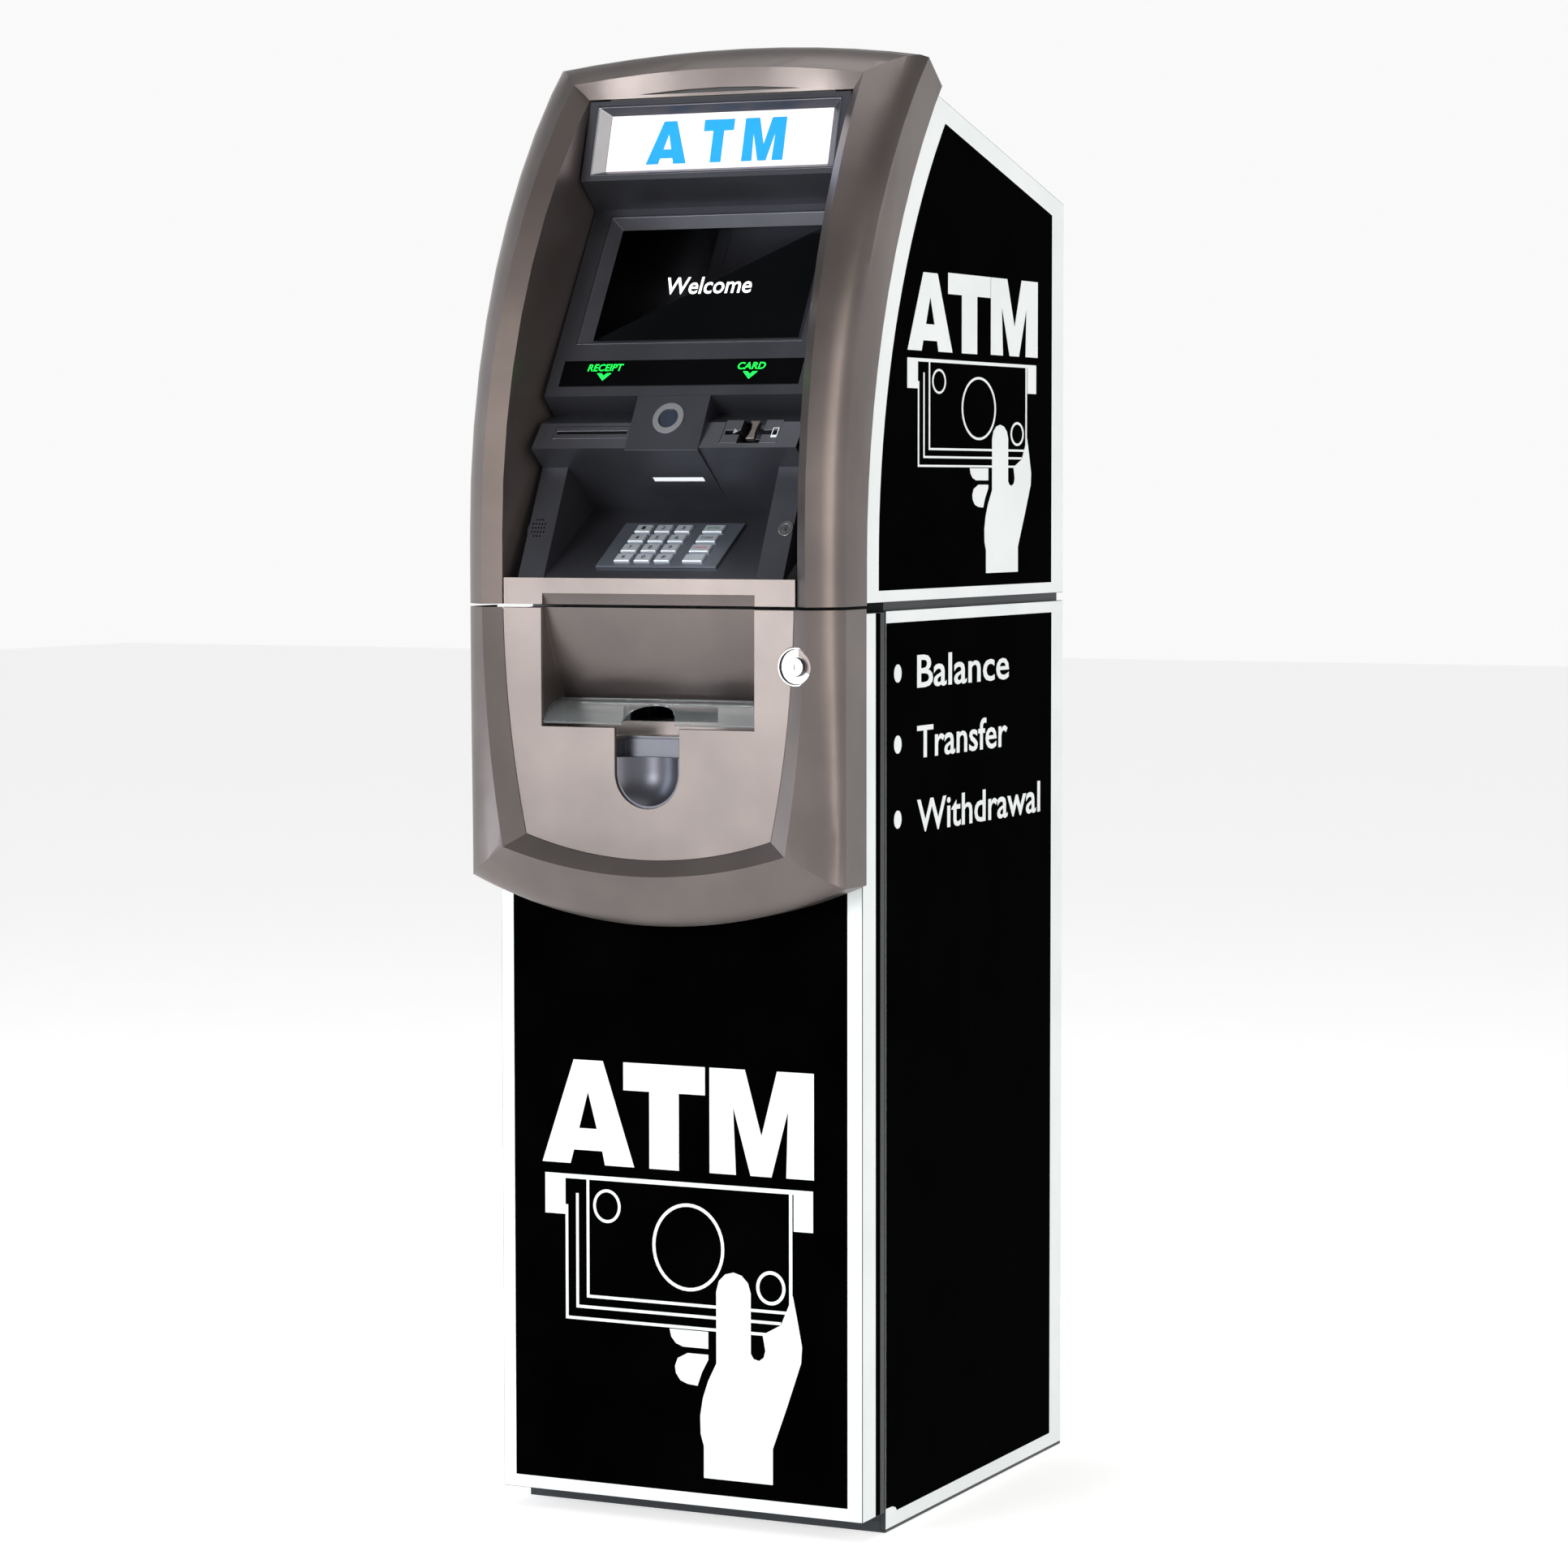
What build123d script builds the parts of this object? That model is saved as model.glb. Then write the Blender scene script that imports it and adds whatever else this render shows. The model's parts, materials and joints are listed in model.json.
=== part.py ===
from build123d import *
import os
from math import ceil, cos, degrees, radians, sin, sqrt

# Free-standing cash machine. Millimetres, +X to the viewer's right, -Y to the front, +Z up.
# The origin is on the floor, at the centre of the four floor-anchor holes.

# ---------------------------------------------------------------- cabinet
cabinet_width = 400
cabinet_depth = 460
front_plane = -230
base_edge = 3
base_thickness = 12
anchor_spacing_x = 280
anchor_spacing_y = 300
anchor_hole_radius = 7
vault_wall = 6
vault_top = 912
jamb_width = 24
jamb_depth = 12
sill_height = 42
lintel_height = 26
seam_height = 8.5
seam_inset = 5
housing_sheet = 1.5
floor_flange = 18
housing_back_height = 1332
roof_slope = 0.268
front_gap = 3

# ---------------------------------------------------------------- vault door
door_gap = 2
door_depth = 52.6
door_bottom = 21
door_skin_wall = 2
door_slab_thickness = 12
door_top_gap = 1
slot_width = 104
slot_height = 15
slot_bottom = 803

# ---------------------------------------------------------------- fascia shape
fascia_overhang = 5
fascia_wall = 3
split_height = 917
split_gap = 3
arc_y = 332
arc_z = 985
ridge_radius = 696
edge_radius = 665
back_arc_y = 420
back_arc_z = 960
back_arc_radius = 705
ridge_half = 176
ridge_side_radius = 8043
bevel_width = 15
bevel_depth = 15
inner_half = 145
inner_radius = 596
top_angle = 41.9
top_crown_radius = 1150
band_steps = 4
band_pull = (0.1, 0.5)
top_edge_angle = 5.2
top_back_angle = 6.4
sign_margin = 2
ceiling_back = -122

# ---------------------------------------------------------------- lower cover shape
cover_bottom = 604
cover_corner_height = 652
ridge_bottom = 654.7
face_bevel_width = 17
face_bevel_rise = 15
face_depth = 12
cover_back_gap = 1.4

# ---------------------------------------------------------------- centre panel, upper fascia
panel_wall = 3
sign_top = (-189.3, 1421)
sign_bottom = (-212, 1340)
ledge_inner = (-180, 1313)
strip_edge = (-290.9, 1122.9)
recess_inner = (-271, 1104)
mouth_top = (-297, 1096)
mouth_edge = (-318.3, 1071.1)
shelf_back = (-242, 1010.5)
shelf_front = (-347, 944.4)
lip_plane = -350
lip_wall = 8
tray_top = 931

sign_glass = (246, 58)
sign_frame = (272, 74)
sign_recess = 10
screen_glass = (226, 130)
screen_frame = (250, 152)
screen_recess = 11
screen_top_margin = 8
strip_size = (264, 30)
strip_margin = 11

column_half = 40
column_proud = 2
column_run = 78
camera_radius = 11
camera_drop = 26
lamp_size = (56, 7)
mouth_size = (78, 3.5)
mouth_offset = -84
card_bay_half = 31
card_offset = 91

bay_half = 116
cheek_top = (-295, 1052.5)
speaker_radius = 14
speaker_offset = -134
grille_pitch = 4.4
grille_hole_radius = 1.0
lock_offset = 137
lock_ring_radius = 8

keypad_size = (132, 78)
keypad_plate_thickness = 2.5
keypad_rim = 5
key_proud = 2.5
key_travel = 1.5
key_gap = 0.4
key_length = 12.5
key_pitch_y = 17.4
number_key_width = 17
number_pitch = 22
function_key_width = 21.6
function_offset = 75

# ---------------------------------------------------------------- cash tray
tray_half = 116
tray_bottom = 799
tray_back = -300
tray_sheet = 2.5
flap_thickness = 2
flap_clearance = 0.6
flap_pin_radius = 2.5
scoop_half = 35
scoop_bottom = 720.4
scoop_ledge = 770
scoop_depth = 18
cover_lock_x = 161.3
cover_lock_z = 861.2
cover_lock_recess = 17
cover_cam_length = 23.5

# ---------------------------------------------------------------- running parts
running = 0.05
pin_radius = 2
barrel_radius = 4
hinge_notch = 0.8
hinge_leaf = 2
bolt_radius = 7
bolt_travel = 16
bolt_heights = (260, 480, 700)
handle_x = 70
handle_z = 730
handle_shaft_radius = 8
dial_x = -80
dial_radius = 30
roller_radius = 12
feed_shaft_radius = 4
cassette_size = (180, 300, 120)
cassette_floor = 500
cassette_front = -140
cassette_wall = 4

half_width = cabinet_width / 2
rear_plane = front_plane + cabinet_depth
door_back = front_plane - door_gap
door_front = door_back - door_depth
door_top = vault_top - door_top_gap
housing_bottom = vault_top + seam_height
fascia_half = half_width + fascia_overhang
fascia_bottom = split_height + split_gap / 2
cover_top = split_height - split_gap / 2
cover_back = door_front - cover_back_gap
straight_back = back_arc_y - back_arc_radius


# ================================================================ helpers
def save(name, *solids):
    """Write the solids of one sub-part as one STEP file."""
    shapes = []
    for item in solids:
        shapes.extend(item.solids())
    part = Compound(children=shapes) if len(shapes) > 1 else shapes[0]
    part.label = name
    export_step(part, "parts/" + name + ".step")


def block(x0, x1, y0, y1, z0, z1):
    """A box between two corners."""
    centre = ((x0 + x1) / 2, (y0 + y1) / 2, (z0 + z1) / 2)
    return Pos(*centre) * Box(abs(x1 - x0), abs(y1 - y0), abs(z1 - z0))


def rod(axis, radius, centre, length):
    """A round bar centred on a point, along X, Y or Z."""
    turn = {"X": Rot(0, 90, 0), "Y": Rot(90, 0, 0), "Z": Rot(0, 0, 0)}[axis]
    return Pos(*centre) * turn * Cylinder(radius, length)


def side_prism(points, x0, x1):
    """A side-view outline of (y, z) points, carried across from x0 to x1."""
    face = make_face(Polyline(*[(x0, y, z) for y, z in points], close=True))
    return extrude(face, amount=abs(x1 - x0), dir=(1 if x1 > x0 else -1, 0, 0))


def unit(dy, dz):
    length = sqrt(dy * dy + dz * dz)
    return (dy / length, dz / length)


def behind(points, depth):
    """The line that runs a wall's depth behind a side-view line, mitred at its corners."""
    result = []
    for index, (y, z) in enumerate(points):
        normals = []
        for start, end in ((index - 1, index), (index, index + 1)):
            if start >= 0 and end < len(points):
                dy, dz = unit(points[end][0] - points[start][0], points[end][1] - points[start][1])
                normals.append((-dz, dy))
        ny = sum(n[0] for n in normals) / len(normals)
        nz = sum(n[1] for n in normals) / len(normals)
        scale = depth / (ny * ny + nz * nz)
        result.append((y + ny * scale, z + nz * scale))
    return result


def sheet_prism(points, depth, x0, x1):
    """A bent sheet whose front face follows a side-view line."""
    return side_prism(points + behind(points, depth)[::-1], x0, x1)


def panel_plane(top, bottom, distance):
    """Local plane on the sloping face from top to bottom: X across, Y up the face, Z outwards."""
    dy, dz = unit(bottom[0] - top[0], bottom[1] - top[1])
    origin = (0, top[0] + dy * distance, top[1] + dz * distance)
    return Plane(origin=origin, x_dir=(1, 0, 0), z_dir=(0, dz, -dy))


def slab_on(plane, width, height, low, high, x=0, y=0):
    """A box on a local plane, from depth low to depth high along its normal."""
    return plane * Pos(x, y, (low + high) / 2) * Box(width, height, high - low)


def tapered_frame(plane, outer, inner, depth, wall):
    """A window frame whose sloping sides run from the face down to the glass."""
    body = slab_on(plane, outer[0], outer[1], -depth - wall, 0)
    mouth_face = plane * Pos(0, 0, 0.01) * Rectangle(outer[0] - 4, outer[1] - 4)
    glass_face = plane * Pos(0, 0, -depth) * Rectangle(inner[0], inner[1])
    mouth = loft([glass_face, mouth_face], ruled=True)
    seat = slab_on(plane, inner[0] + wall, inner[1] + wall, -depth - wall - 1, -depth)
    return body - mouth - seat


def hinge(axis_y, z0, z1, knuckles, fixed_y, moving_y, fixed_leaf_x, moving_leaf_x):
    """Two leaves on one pin: odd knuckles and the pin stand still, even ones turn."""
    fixed = rod("Z", pin_radius, (hinge_x, axis_y, (z0 + z1) / 2), z1 - z0)
    moving = None
    pitch = (z1 - z0) / knuckles
    for index in range(knuckles):
        low = z0 + index * pitch
        trim = 0.15 if index % 2 else 0
        middle = low + pitch / 2
        barrel = rod("Z", barrel_radius, (hinge_x, axis_y, middle), pitch - 2 * trim)
        leaf_x, leaf_y = (moving_leaf_x, moving_y) if index % 2 else (fixed_leaf_x, fixed_y)
        leaf = block(leaf_x[0], leaf_x[1], axis_y, leaf_y, low + trim, low + pitch - trim)
        bore = rod("Z", pin_radius + running, (hinge_x, axis_y, middle), pitch)
        if index % 2:
            piece = barrel + leaf - bore
            moving = piece if moving is None else moving + piece
        else:
            fixed = fixed + barrel + leaf
    spine_z = (z0 + pitch + 0.15, z1 - pitch - 0.15)
    far = moving_y - 6 if moving_y < axis_y else moving_y + 6
    moving = moving + block(moving_leaf_x[0], moving_leaf_x[1], moving_y, far, *spine_z)
    back = fixed_y + 6 if fixed_y > axis_y else fixed_y - 6
    fixed = fixed + block(fixed_leaf_x[0], fixed_leaf_x[1], fixed_y, back, z0, z1)
    return fixed, moving


hinge_x = -half_width - 1
door_hinge_y = front_plane - door_gap / 2
fascia_hinge_y = straight_back + front_gap / 2
cover_hinge_y = door_front - cover_back_gap / 2
door_hinge_zones = ((110, 190), (470, 550), (790, 870))
fascia_hinge_zone = (924, 1014)
cover_hinge_zone = (690, 770)


def notch(axis_y, z0, z1):
    """Room round a hinge barrel in the walls on both sides of it."""
    return rod("Z", barrel_radius + hinge_notch, (hinge_x, axis_y, (z0 + z1) / 2), z1 - z0 + 1)


# ================================================================ cabinet
def base_plate():
    plate = block(-half_width, half_width, front_plane, rear_plane, 0, base_edge)
    raised = block(-half_width + vault_wall, half_width - vault_wall,
                   front_plane, rear_plane - vault_wall, base_edge, base_thickness)
    holes = Part()
    for x in (-anchor_spacing_x / 2, anchor_spacing_x / 2):
        for y in (-anchor_spacing_y / 2, anchor_spacing_y / 2):
            holes += rod("Z", anchor_hole_radius, (x, y, base_thickness / 2), base_thickness * 2)
    return plate + raised - holes


def vault_walls():
    left = block(-half_width, -half_width + vault_wall, front_plane, rear_plane, base_edge, vault_top)
    for zone in door_hinge_zones:
        left -= notch(door_hinge_y, *zone)
    right = block(half_width - vault_wall, half_width, front_plane, rear_plane, base_edge, vault_top)
    inner = half_width - vault_wall
    rear = block(-inner, inner, rear_plane - vault_wall, rear_plane, base_edge, vault_top)
    roof = block(-inner, inner, front_plane, rear_plane - vault_wall, vault_top - vault_wall, vault_top)
    return [left, right, rear, roof]


def door_jambs():
    inner = half_width - vault_wall
    back = front_plane + jamb_depth
    ceiling = vault_top - vault_wall
    bars = []
    for side in (-1, 1):
        bars.append(block(side * inner, side * (inner - jamb_width), front_plane, back,
                          base_thickness, ceiling))
    opening = inner - jamb_width
    bars.append(block(-opening, opening, front_plane, back, base_thickness, sill_height))
    bars.append(block(-opening, opening, front_plane, back, ceiling - lintel_height, ceiling))
    return bars


def seam_frame():
    outer = half_width - seam_inset
    back = rear_plane - seam_inset
    front = front_plane + seam_inset
    width = 12
    bars = []
    for side in (-1, 1):
        bars.append(block(side * outer, side * (outer - width), front, back, vault_top, housing_bottom))
    for y in (front, back - width):
        bars.append(block(width - outer, outer - width, y, y + width, vault_top, housing_bottom))
    return bars


def back_arc_line(z_low, z_high, gap, steps=1):
    """Side-view points of the fascia's rear edge, a gap behind it, from low to high."""
    points = []
    if z_low < back_arc_z:
        points.append((straight_back + gap, z_low))
        z_low = back_arc_z
    for step in range(steps + 1):
        z = z_low + (z_high - z_low) * step / steps
        reach = back_arc_radius - gap
        points.append((back_arc_y - sqrt(reach ** 2 - (z - back_arc_z) ** 2), z))
    return points


def housing_outline():
    """Side view of the upper housing: flat bottom, curved front edge, sloping roof."""
    rear = rear_plane
    front_line = back_arc_line(housing_bottom, 1400, front_gap, 12)
    front_line = [p for p in front_line if p[1] < roof_height(p[0]) - 1]
    y = front_line[-1][0]
    for _ in range(30):
        reach = back_arc_radius - front_gap
        y = back_arc_y - sqrt(reach ** 2 - (roof_height(y) - back_arc_z) ** 2)
    return front_line + [(y, roof_height(y)), (rear, housing_back_height), (rear, housing_bottom)]


def roof_height(y):
    return housing_back_height + (rear_plane - y) * roof_slope


def housing_shell():
    outline = housing_outline()
    peak_y = outline[-3][0]
    rear = rear_plane
    left = side_prism(outline, -half_width, -half_width + housing_sheet)
    left -= notch(fascia_hinge_y, *fascia_hinge_zone)
    right = side_prism(outline, half_width - housing_sheet, half_width)
    inner = half_width - housing_sheet
    back = block(-inner, inner, rear - housing_sheet, rear, housing_bottom,
                 housing_back_height - housing_sheet)
    louvres = Part()
    for row in range(8):
        z = housing_back_height - 90 - row * 16
        louvres += block(-60, 60, rear - 10, rear + 10, z, z + 5)
    back -= louvres + block(-72.5, -27.5, rear - 10, rear + 10, 953.5, 980.5)
    front_y = peak_y + 1
    roof = side_prism([(front_y, roof_height(front_y)), (rear, housing_back_height),
                       (rear, housing_back_height - housing_sheet),
                       (front_y, roof_height(front_y) - housing_sheet)], -inner, inner)
    front = straight_back + front_gap
    floor = block(-inner, inner, front, rear - housing_sheet, housing_bottom, housing_bottom + housing_sheet)
    floor -= block(floor_flange - inner, inner - floor_flange, front - 1, rear - floor_flange,
                   housing_bottom - 1, housing_bottom + 3)
    floor -= notch(fascia_hinge_y, *fascia_hinge_zone)
    return [left, right, back, roof, floor]


def power_inlet():
    """A flanged inlet with three pins' recess and a seat for the rocker switch."""
    rear = rear_plane
    flange = block(-75, -25, rear, rear + 3, 952, 982)
    body = block(-72, -28, rear - 30, rear, 954, 980)
    socket = block(-70, -48, rear - 16, rear + 5, 957, 977)
    pins = Part()
    for x in (-64, -59, -54):
        pins += block(x - 1, x + 1, rear - 16, rear - 4, 963, 970)
    seat = block(-44, -30, rear - 14, rear + 5, 957, 977)
    return flange + body - socket - seat + pins


def power_rocker():
    """A rocker that tips about a line across its seat."""
    rear = rear_plane
    outline = [(rear - 3, 958.5), (rear + 5, 959.5), (rear + 3.2, 967), (rear + 5, 974.5), (rear - 3, 975.5)]
    return side_prism(outline, -43.5, -30.5) + rod("X", 1.5, (-37, rear, 967), 13.9)


def control_box():
    case = block(-120, 120, -20, 180, vault_top, 1120)
    return case - block(-118, 118, -22, 178, vault_top + 2, 1118)


def circuit_board():
    board = block(-100, 100, 20, 160, vault_top + 12, vault_top + 14)
    for x in (-90, 90):
        for y in (30, 150):
            board += rod("Z", 3, (x, y, vault_top + 7), 10)
    board += block(-60, 60, 60, 120, vault_top + 14, vault_top + 50)
    return board


# ================================================================ dispenser and cassette
frame_half = cassette_size[0] / 2 + 20
frame_sheet = 3
shelf_top = cassette_floor - 8


def dispenser_shelf():
    inner = half_width - vault_wall
    return block(-inner, inner, -160, rear_plane - vault_wall, shelf_top - 6, shelf_top)


def dispenser_frame():
    plates = []
    for side in (-1, 1):
        plate = block(side * frame_half, side * (frame_half + frame_sheet), -150, 200, shelf_top, 860)
        plate -= rod("X", feed_shaft_radius + running, (side * frame_half, feed_y, feed_z), 20)
        plates.append(plate)
    for y in (-60, 190):
        plates.append(block(-frame_half, frame_half, y, y + 10, 850, 860))
    return plates


feed_y = -110
feed_z = slot_bottom + slot_height / 2 + roller_radius + 4.5


def feed_shaft():
    shaft = rod("X", feed_shaft_radius, (0, feed_y, feed_z), 2 * (frame_half + frame_sheet + 6))
    for x in (-30, 30):
        shaft += rod("X", roller_radius, (x, feed_y, feed_z), 16)
    for side in (-1, 1):
        shaft += rod("X", feed_shaft_radius + 3, (side * (frame_half + frame_sheet + 2), feed_y, feed_z), 3)
    return shaft


def note_chute():
    """Upper and lower guide plates that carry the notes to the slot in the door."""
    low = slot_bottom - 1
    high = slot_bottom + slot_height + 1
    front = front_plane + 4
    half = frame_half
    lower = block(-half, half, front, 60, low - 3, low)
    upper = block(-half, half, front, 60, high, high + 3)
    upper -= block(-half + 4, half - 4, feed_y - 18, feed_y + 18, high - 1, high + 5)
    lower_front = block(-half - frame_sheet, half + frame_sheet, front, front + 6, low - 3, low)
    return [lower + lower_front, upper]


def cassette_rails():
    bars = []
    width = cassette_size[0] / 2
    for side in (-1, 1):
        floor = block(side * (width - 14), side * (width + 6), -155, 195, shelf_top, cassette_floor - 0.3)
        guide = block(side * (width + 2), side * (width + 6), -155, 195, cassette_floor - 0.3,
                      cassette_floor + 10)
        bars.append(floor + guide)
    return bars


def cash_cassette():
    width, length, height = cassette_size
    back = cassette_front + length
    top = cassette_floor + height
    case = block(-width / 2, width / 2, cassette_front, back, cassette_floor, top)
    case -= block(-width / 2 + cassette_wall, width / 2 - cassette_wall, cassette_front + cassette_wall,
                  back - cassette_wall, cassette_floor + cassette_wall, top + 1)
    return case


def cassette_lid():
    width, length, height = cassette_size
    back = cassette_front + length
    top = cassette_floor + height
    lid = block(-width / 2, width / 2, cassette_front, back, top, top + 4)
    lid -= block(-35, 35, back - 90, back - 30, top - 1, top + 5)
    return lid


def cassette_grip():
    """A bow handle on the cassette's front."""
    z = cassette_floor + cassette_size[2] * 0.6
    bow = block(-50, 50, cassette_front - 18, cassette_front - 12, z - 8, z + 8)
    for side in (-1, 1):
        bow += block(side * 50, side * 44, cassette_front - 12, cassette_front, z - 8, z + 8)
    return bow


# ================================================================ vault door
opening_half = half_width - vault_wall - jamb_width


def door_slot(y0, y1, grow=0):
    return block(-slot_width / 2 - grow, slot_width / 2 + grow, y0, y1,
                 slot_bottom - grow, slot_bottom + slot_height + grow)


def door_skin():
    skin = block(-half_width, half_width, door_front, door_back, door_bottom, door_top)
    wall = door_skin_wall
    skin -= block(-half_width + wall, half_width - wall, door_front + wall, door_back + 1,
                  door_bottom + wall, door_top - wall)
    skin -= door_slot(door_front - 1, door_front + 5)
    skin -= rod("Y", handle_shaft_radius + 1, (handle_x, door_front, handle_z), 20)
    skin -= rod("Y", 5, (dial_x, door_front, handle_z), 20)
    for zone in door_hinge_zones:
        skin -= notch(door_hinge_y, *zone)
    skin -= notch(cover_hinge_y, *cover_hinge_zone)
    return skin


def door_slab():
    """Steel plates behind the skin, built up round the note slot."""
    inner = half_width - door_skin_wall
    levels = [(door_bottom + door_skin_wall, slot_bottom),
              (slot_bottom + slot_height, door_top - door_skin_wall)]
    plates = []
    for low, high in levels:
        plate = block(-inner, inner, door_back - door_slab_thickness, door_back, low, high)
        plate -= rod("Y", handle_shaft_radius + running, (handle_x, door_back - 6, handle_z), 30)
        plate -= rod("Y", 4 + running, (dial_x, door_back - 6, handle_z), 30)
        for zone in door_hinge_zones:
            plate -= notch(door_hinge_y, *zone)
        plates.append(plate)
    for side in (-1, 1):
        plate = block(side * slot_width / 2, side * inner, door_back - door_slab_thickness, door_back,
                      slot_bottom, slot_bottom + slot_height)
        plates.append(plate - notch(door_hinge_y, *door_hinge_zones[-1]))
    return plates


def door_posts():
    """Inner walls that join the skin to the slab beside the note slot."""
    posts = []
    for side in (-1, 1):
        x = side * (slot_width / 2 + 2)
        posts.append(block(x, x + side * 3, door_front + door_skin_wall, door_back - door_slab_thickness,
                           slot_bottom - 10, slot_bottom + slot_height + 10))
    return posts


bolt_y = front_plane + jamb_depth + 2 + bolt_radius
bolt_tip = opening_half - 4
bar_x = 95


def bolt_guides():
    guides = []
    for z in bolt_heights:
        guide = block(125, 150, door_back, bolt_y + bolt_radius + 5, z - 14, z + 14)
        guide -= rod("X", bolt_radius + running, (137, bolt_y, z), 40)
        guides.append(guide)
    return guides


yoke_y = (bolt_y - 4, bolt_y + 2)
crank_radius = bolt_travel / 2 * sqrt(2)
crank_pin_radius = 3


def bolt_bar():
    """A bar with three bolts and a slotted yoke that the handle's crank pin pushes."""
    low = bolt_heights[0] - 20
    high = bolt_heights[-1] + 70
    bar = block(bar_x, bar_x + 10, bolt_y - 4, bolt_y + 4, low, high)
    for z in bolt_heights:
        bar += rod("X", bolt_radius, ((bar_x + 10 + bolt_tip) / 2, bolt_y, z), bolt_tip - bar_x - 10)
    pin_x = handle_x - bolt_travel / 2
    slot_half = crank_pin_radius + 0.8
    yoke = block(pin_x - 12, bar_x, yoke_y[0], yoke_y[1], handle_z - 4, handle_z + 26)
    yoke -= block(pin_x - slot_half, pin_x + slot_half, yoke_y[0] - 1, yoke_y[1] + 1,
                  handle_z + bolt_travel / 2 - crank_pin_radius - 1,
                  handle_z + crank_radius + crank_pin_radius + 1)
    return bar + yoke


def door_handle():
    """Lever, shaft, crank disc and crank pin that draw the bolts."""
    disc_y = (yoke_y[0] - 8, yoke_y[0] - 2)
    front = door_front - 20
    shaft = rod("Y", handle_shaft_radius, (handle_x, (front + disc_y[0]) / 2, handle_z), disc_y[0] - front)
    hub = rod("Y", 14, (handle_x, front + 5, handle_z), 12)
    lever = block(handle_x, handle_x + 90, front - 1, front + 7, handle_z - 8, handle_z + 8)
    lever += rod("Y", 8, (handle_x + 90, front + 3, handle_z), 8)
    disc = rod("Y", 16, (handle_x, (disc_y[0] + disc_y[1]) / 2, handle_z), disc_y[1] - disc_y[0])
    pin_length = yoke_y[1] - disc_y[1] + 2
    pin = rod("Y", crank_pin_radius, (handle_x - bolt_travel / 2, disc_y[1] + pin_length / 2,
                                      handle_z + bolt_travel / 2), pin_length)
    return shaft + hub + lever + disc + pin


def combination_dial():
    front = door_front - 16
    knob = rod("Y", dial_radius, (dial_x, front + 6, handle_z), 4)
    knob += rod("Y", dial_radius * 0.6, (dial_x, front + 1, handle_z), 10)
    spindle_back = door_back + 8
    spindle = rod("Y", 4, (dial_x, (front + spindle_back) / 2, handle_z), spindle_back - front)
    for index in range(10):
        turn = Pos(dial_x, front + 4, handle_z) * Rot(0, 36 * index, 0)
        knob -= turn * Pos(0, -1, dial_radius - 2) * Box(1, 2, 6)
    return knob + spindle


def lock_case():
    case = block(dial_x - 35, dial_x + 35, door_back, door_back + 27, handle_z - 35, handle_z + 35)
    return case - rod("Y", 4 + 0.3, (dial_x, door_back + 4, handle_z), 12)


def cover_strike():
    """An arm on the door that the cover's cam turns behind."""
    foot = block(178, 196, door_front - 2, door_front, cover_lock_z - 14, cover_lock_z + 14)
    post = block(186, 190, door_front - 18, door_front - 2, cover_lock_z - 10, cover_lock_z + 10)
    arm = block(174, 186, door_front - 18, door_front - 15, cover_lock_z - 10, cover_lock_z + 10)
    return [foot, post, arm]


# ================================================================ fascia surfaces
def at(x, radius, angle, drop):
    return Vector(x, arc_y - radius * cos(angle), arc_z - drop + radius * sin(angle))


def ridge_x(angle):
    """Half the distance between the two ridges, narrowing towards the top."""
    run = ridge_radius * max(angle, 0)
    return ridge_half - ridge_side_radius + sqrt(ridge_side_radius ** 2 - run * run)


def stations(bottom, top_degrees, step_degrees=5.0):
    """Stations up the fascia: one at the bottom of the straight run, then along the arc."""
    steps = ceil(top_degrees / step_degrees)
    result = [(0.0, arc_z - bottom)]
    for index in range(steps + 1):
        result.append((radians(top_degrees * index / steps), 0.0))
    return result


def stacked(outline, bottom, top_degrees):
    """A solid through an outline of (x, radius) points at every station."""
    wires = []
    for angle, drop in stations(bottom, top_degrees):
        points = [at(x, radius, angle, drop) for x, radius in outline(angle)]
        wires.append(Wire.make_polygon(points, close=True))
    return Part() + Solid.make_loft(wires, ruled=True)


def mirrored(points):
    return points + [(-x, radius) for x, radius in reversed(points)]


def band_points():
    """Fractions (inwards, outwards) of the rounded band between the side wall and the ridge."""
    points = []
    for step in range(1, band_steps):
        t = step / band_steps
        inwards = t * t + 2 * t * (1 - t) * band_pull[0]
        outwards = t * t + 2 * t * (1 - t) * band_pull[1]
        points.append((inwards, outwards))
    return points


def body_outline(inset):
    """Half-section of the filled fascia, from the back edge round the band to the ridge."""
    def outline(angle):
        ridge = ridge_x(angle)
        edge_x = fascia_half - inset
        band = []
        for inwards, outwards in band_points():
            x = fascia_half - (fascia_half - ridge) * inwards - inset * (1 - 0.6 * inwards)
            radius = edge_radius + (ridge_radius - edge_radius) * outwards - inset * (0.3 + 0.6 * outwards)
            band.append((x, radius))
        corner_x = ridge - inset * 0.3
        return mirrored([(edge_x, inner_radius - 8), (edge_x, edge_radius - inset * 0.3)] + band
                        + [(corner_x, ridge_radius - inset)])
    return outline


def dish_outline(grow):
    """Half-section of the hollow between the ridges: bevel, then steep wall."""
    def outline(angle):
        ridge = ridge_x(angle)
        bevel_end = ridge - bevel_width + grow
        return mirrored([(inner_half + grow, inner_radius - 9), (bevel_end, ridge_radius - bevel_depth),
                         (ridge + grow, ridge_radius + 0.01), (ridge + grow, ridge_radius + 6)])
    return outline


def across(outline, half):
    """A solid through a side-view outline carried across in crowned steps."""
    wires = []
    steps = 10
    for index in range(steps + 1):
        x = -half + 2 * half * index / steps
        points = [Vector(x, y, z) for y, z in outline(x)]
        wires.append(Wire.make_polygon(points, close=True))
    return Part() + Solid.make_loft(wires, ruled=True)


def polar(radius, degrees_up):
    angle = radians(degrees_up)
    return (arc_y - radius * cos(angle), arc_z + radius * sin(angle))


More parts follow.
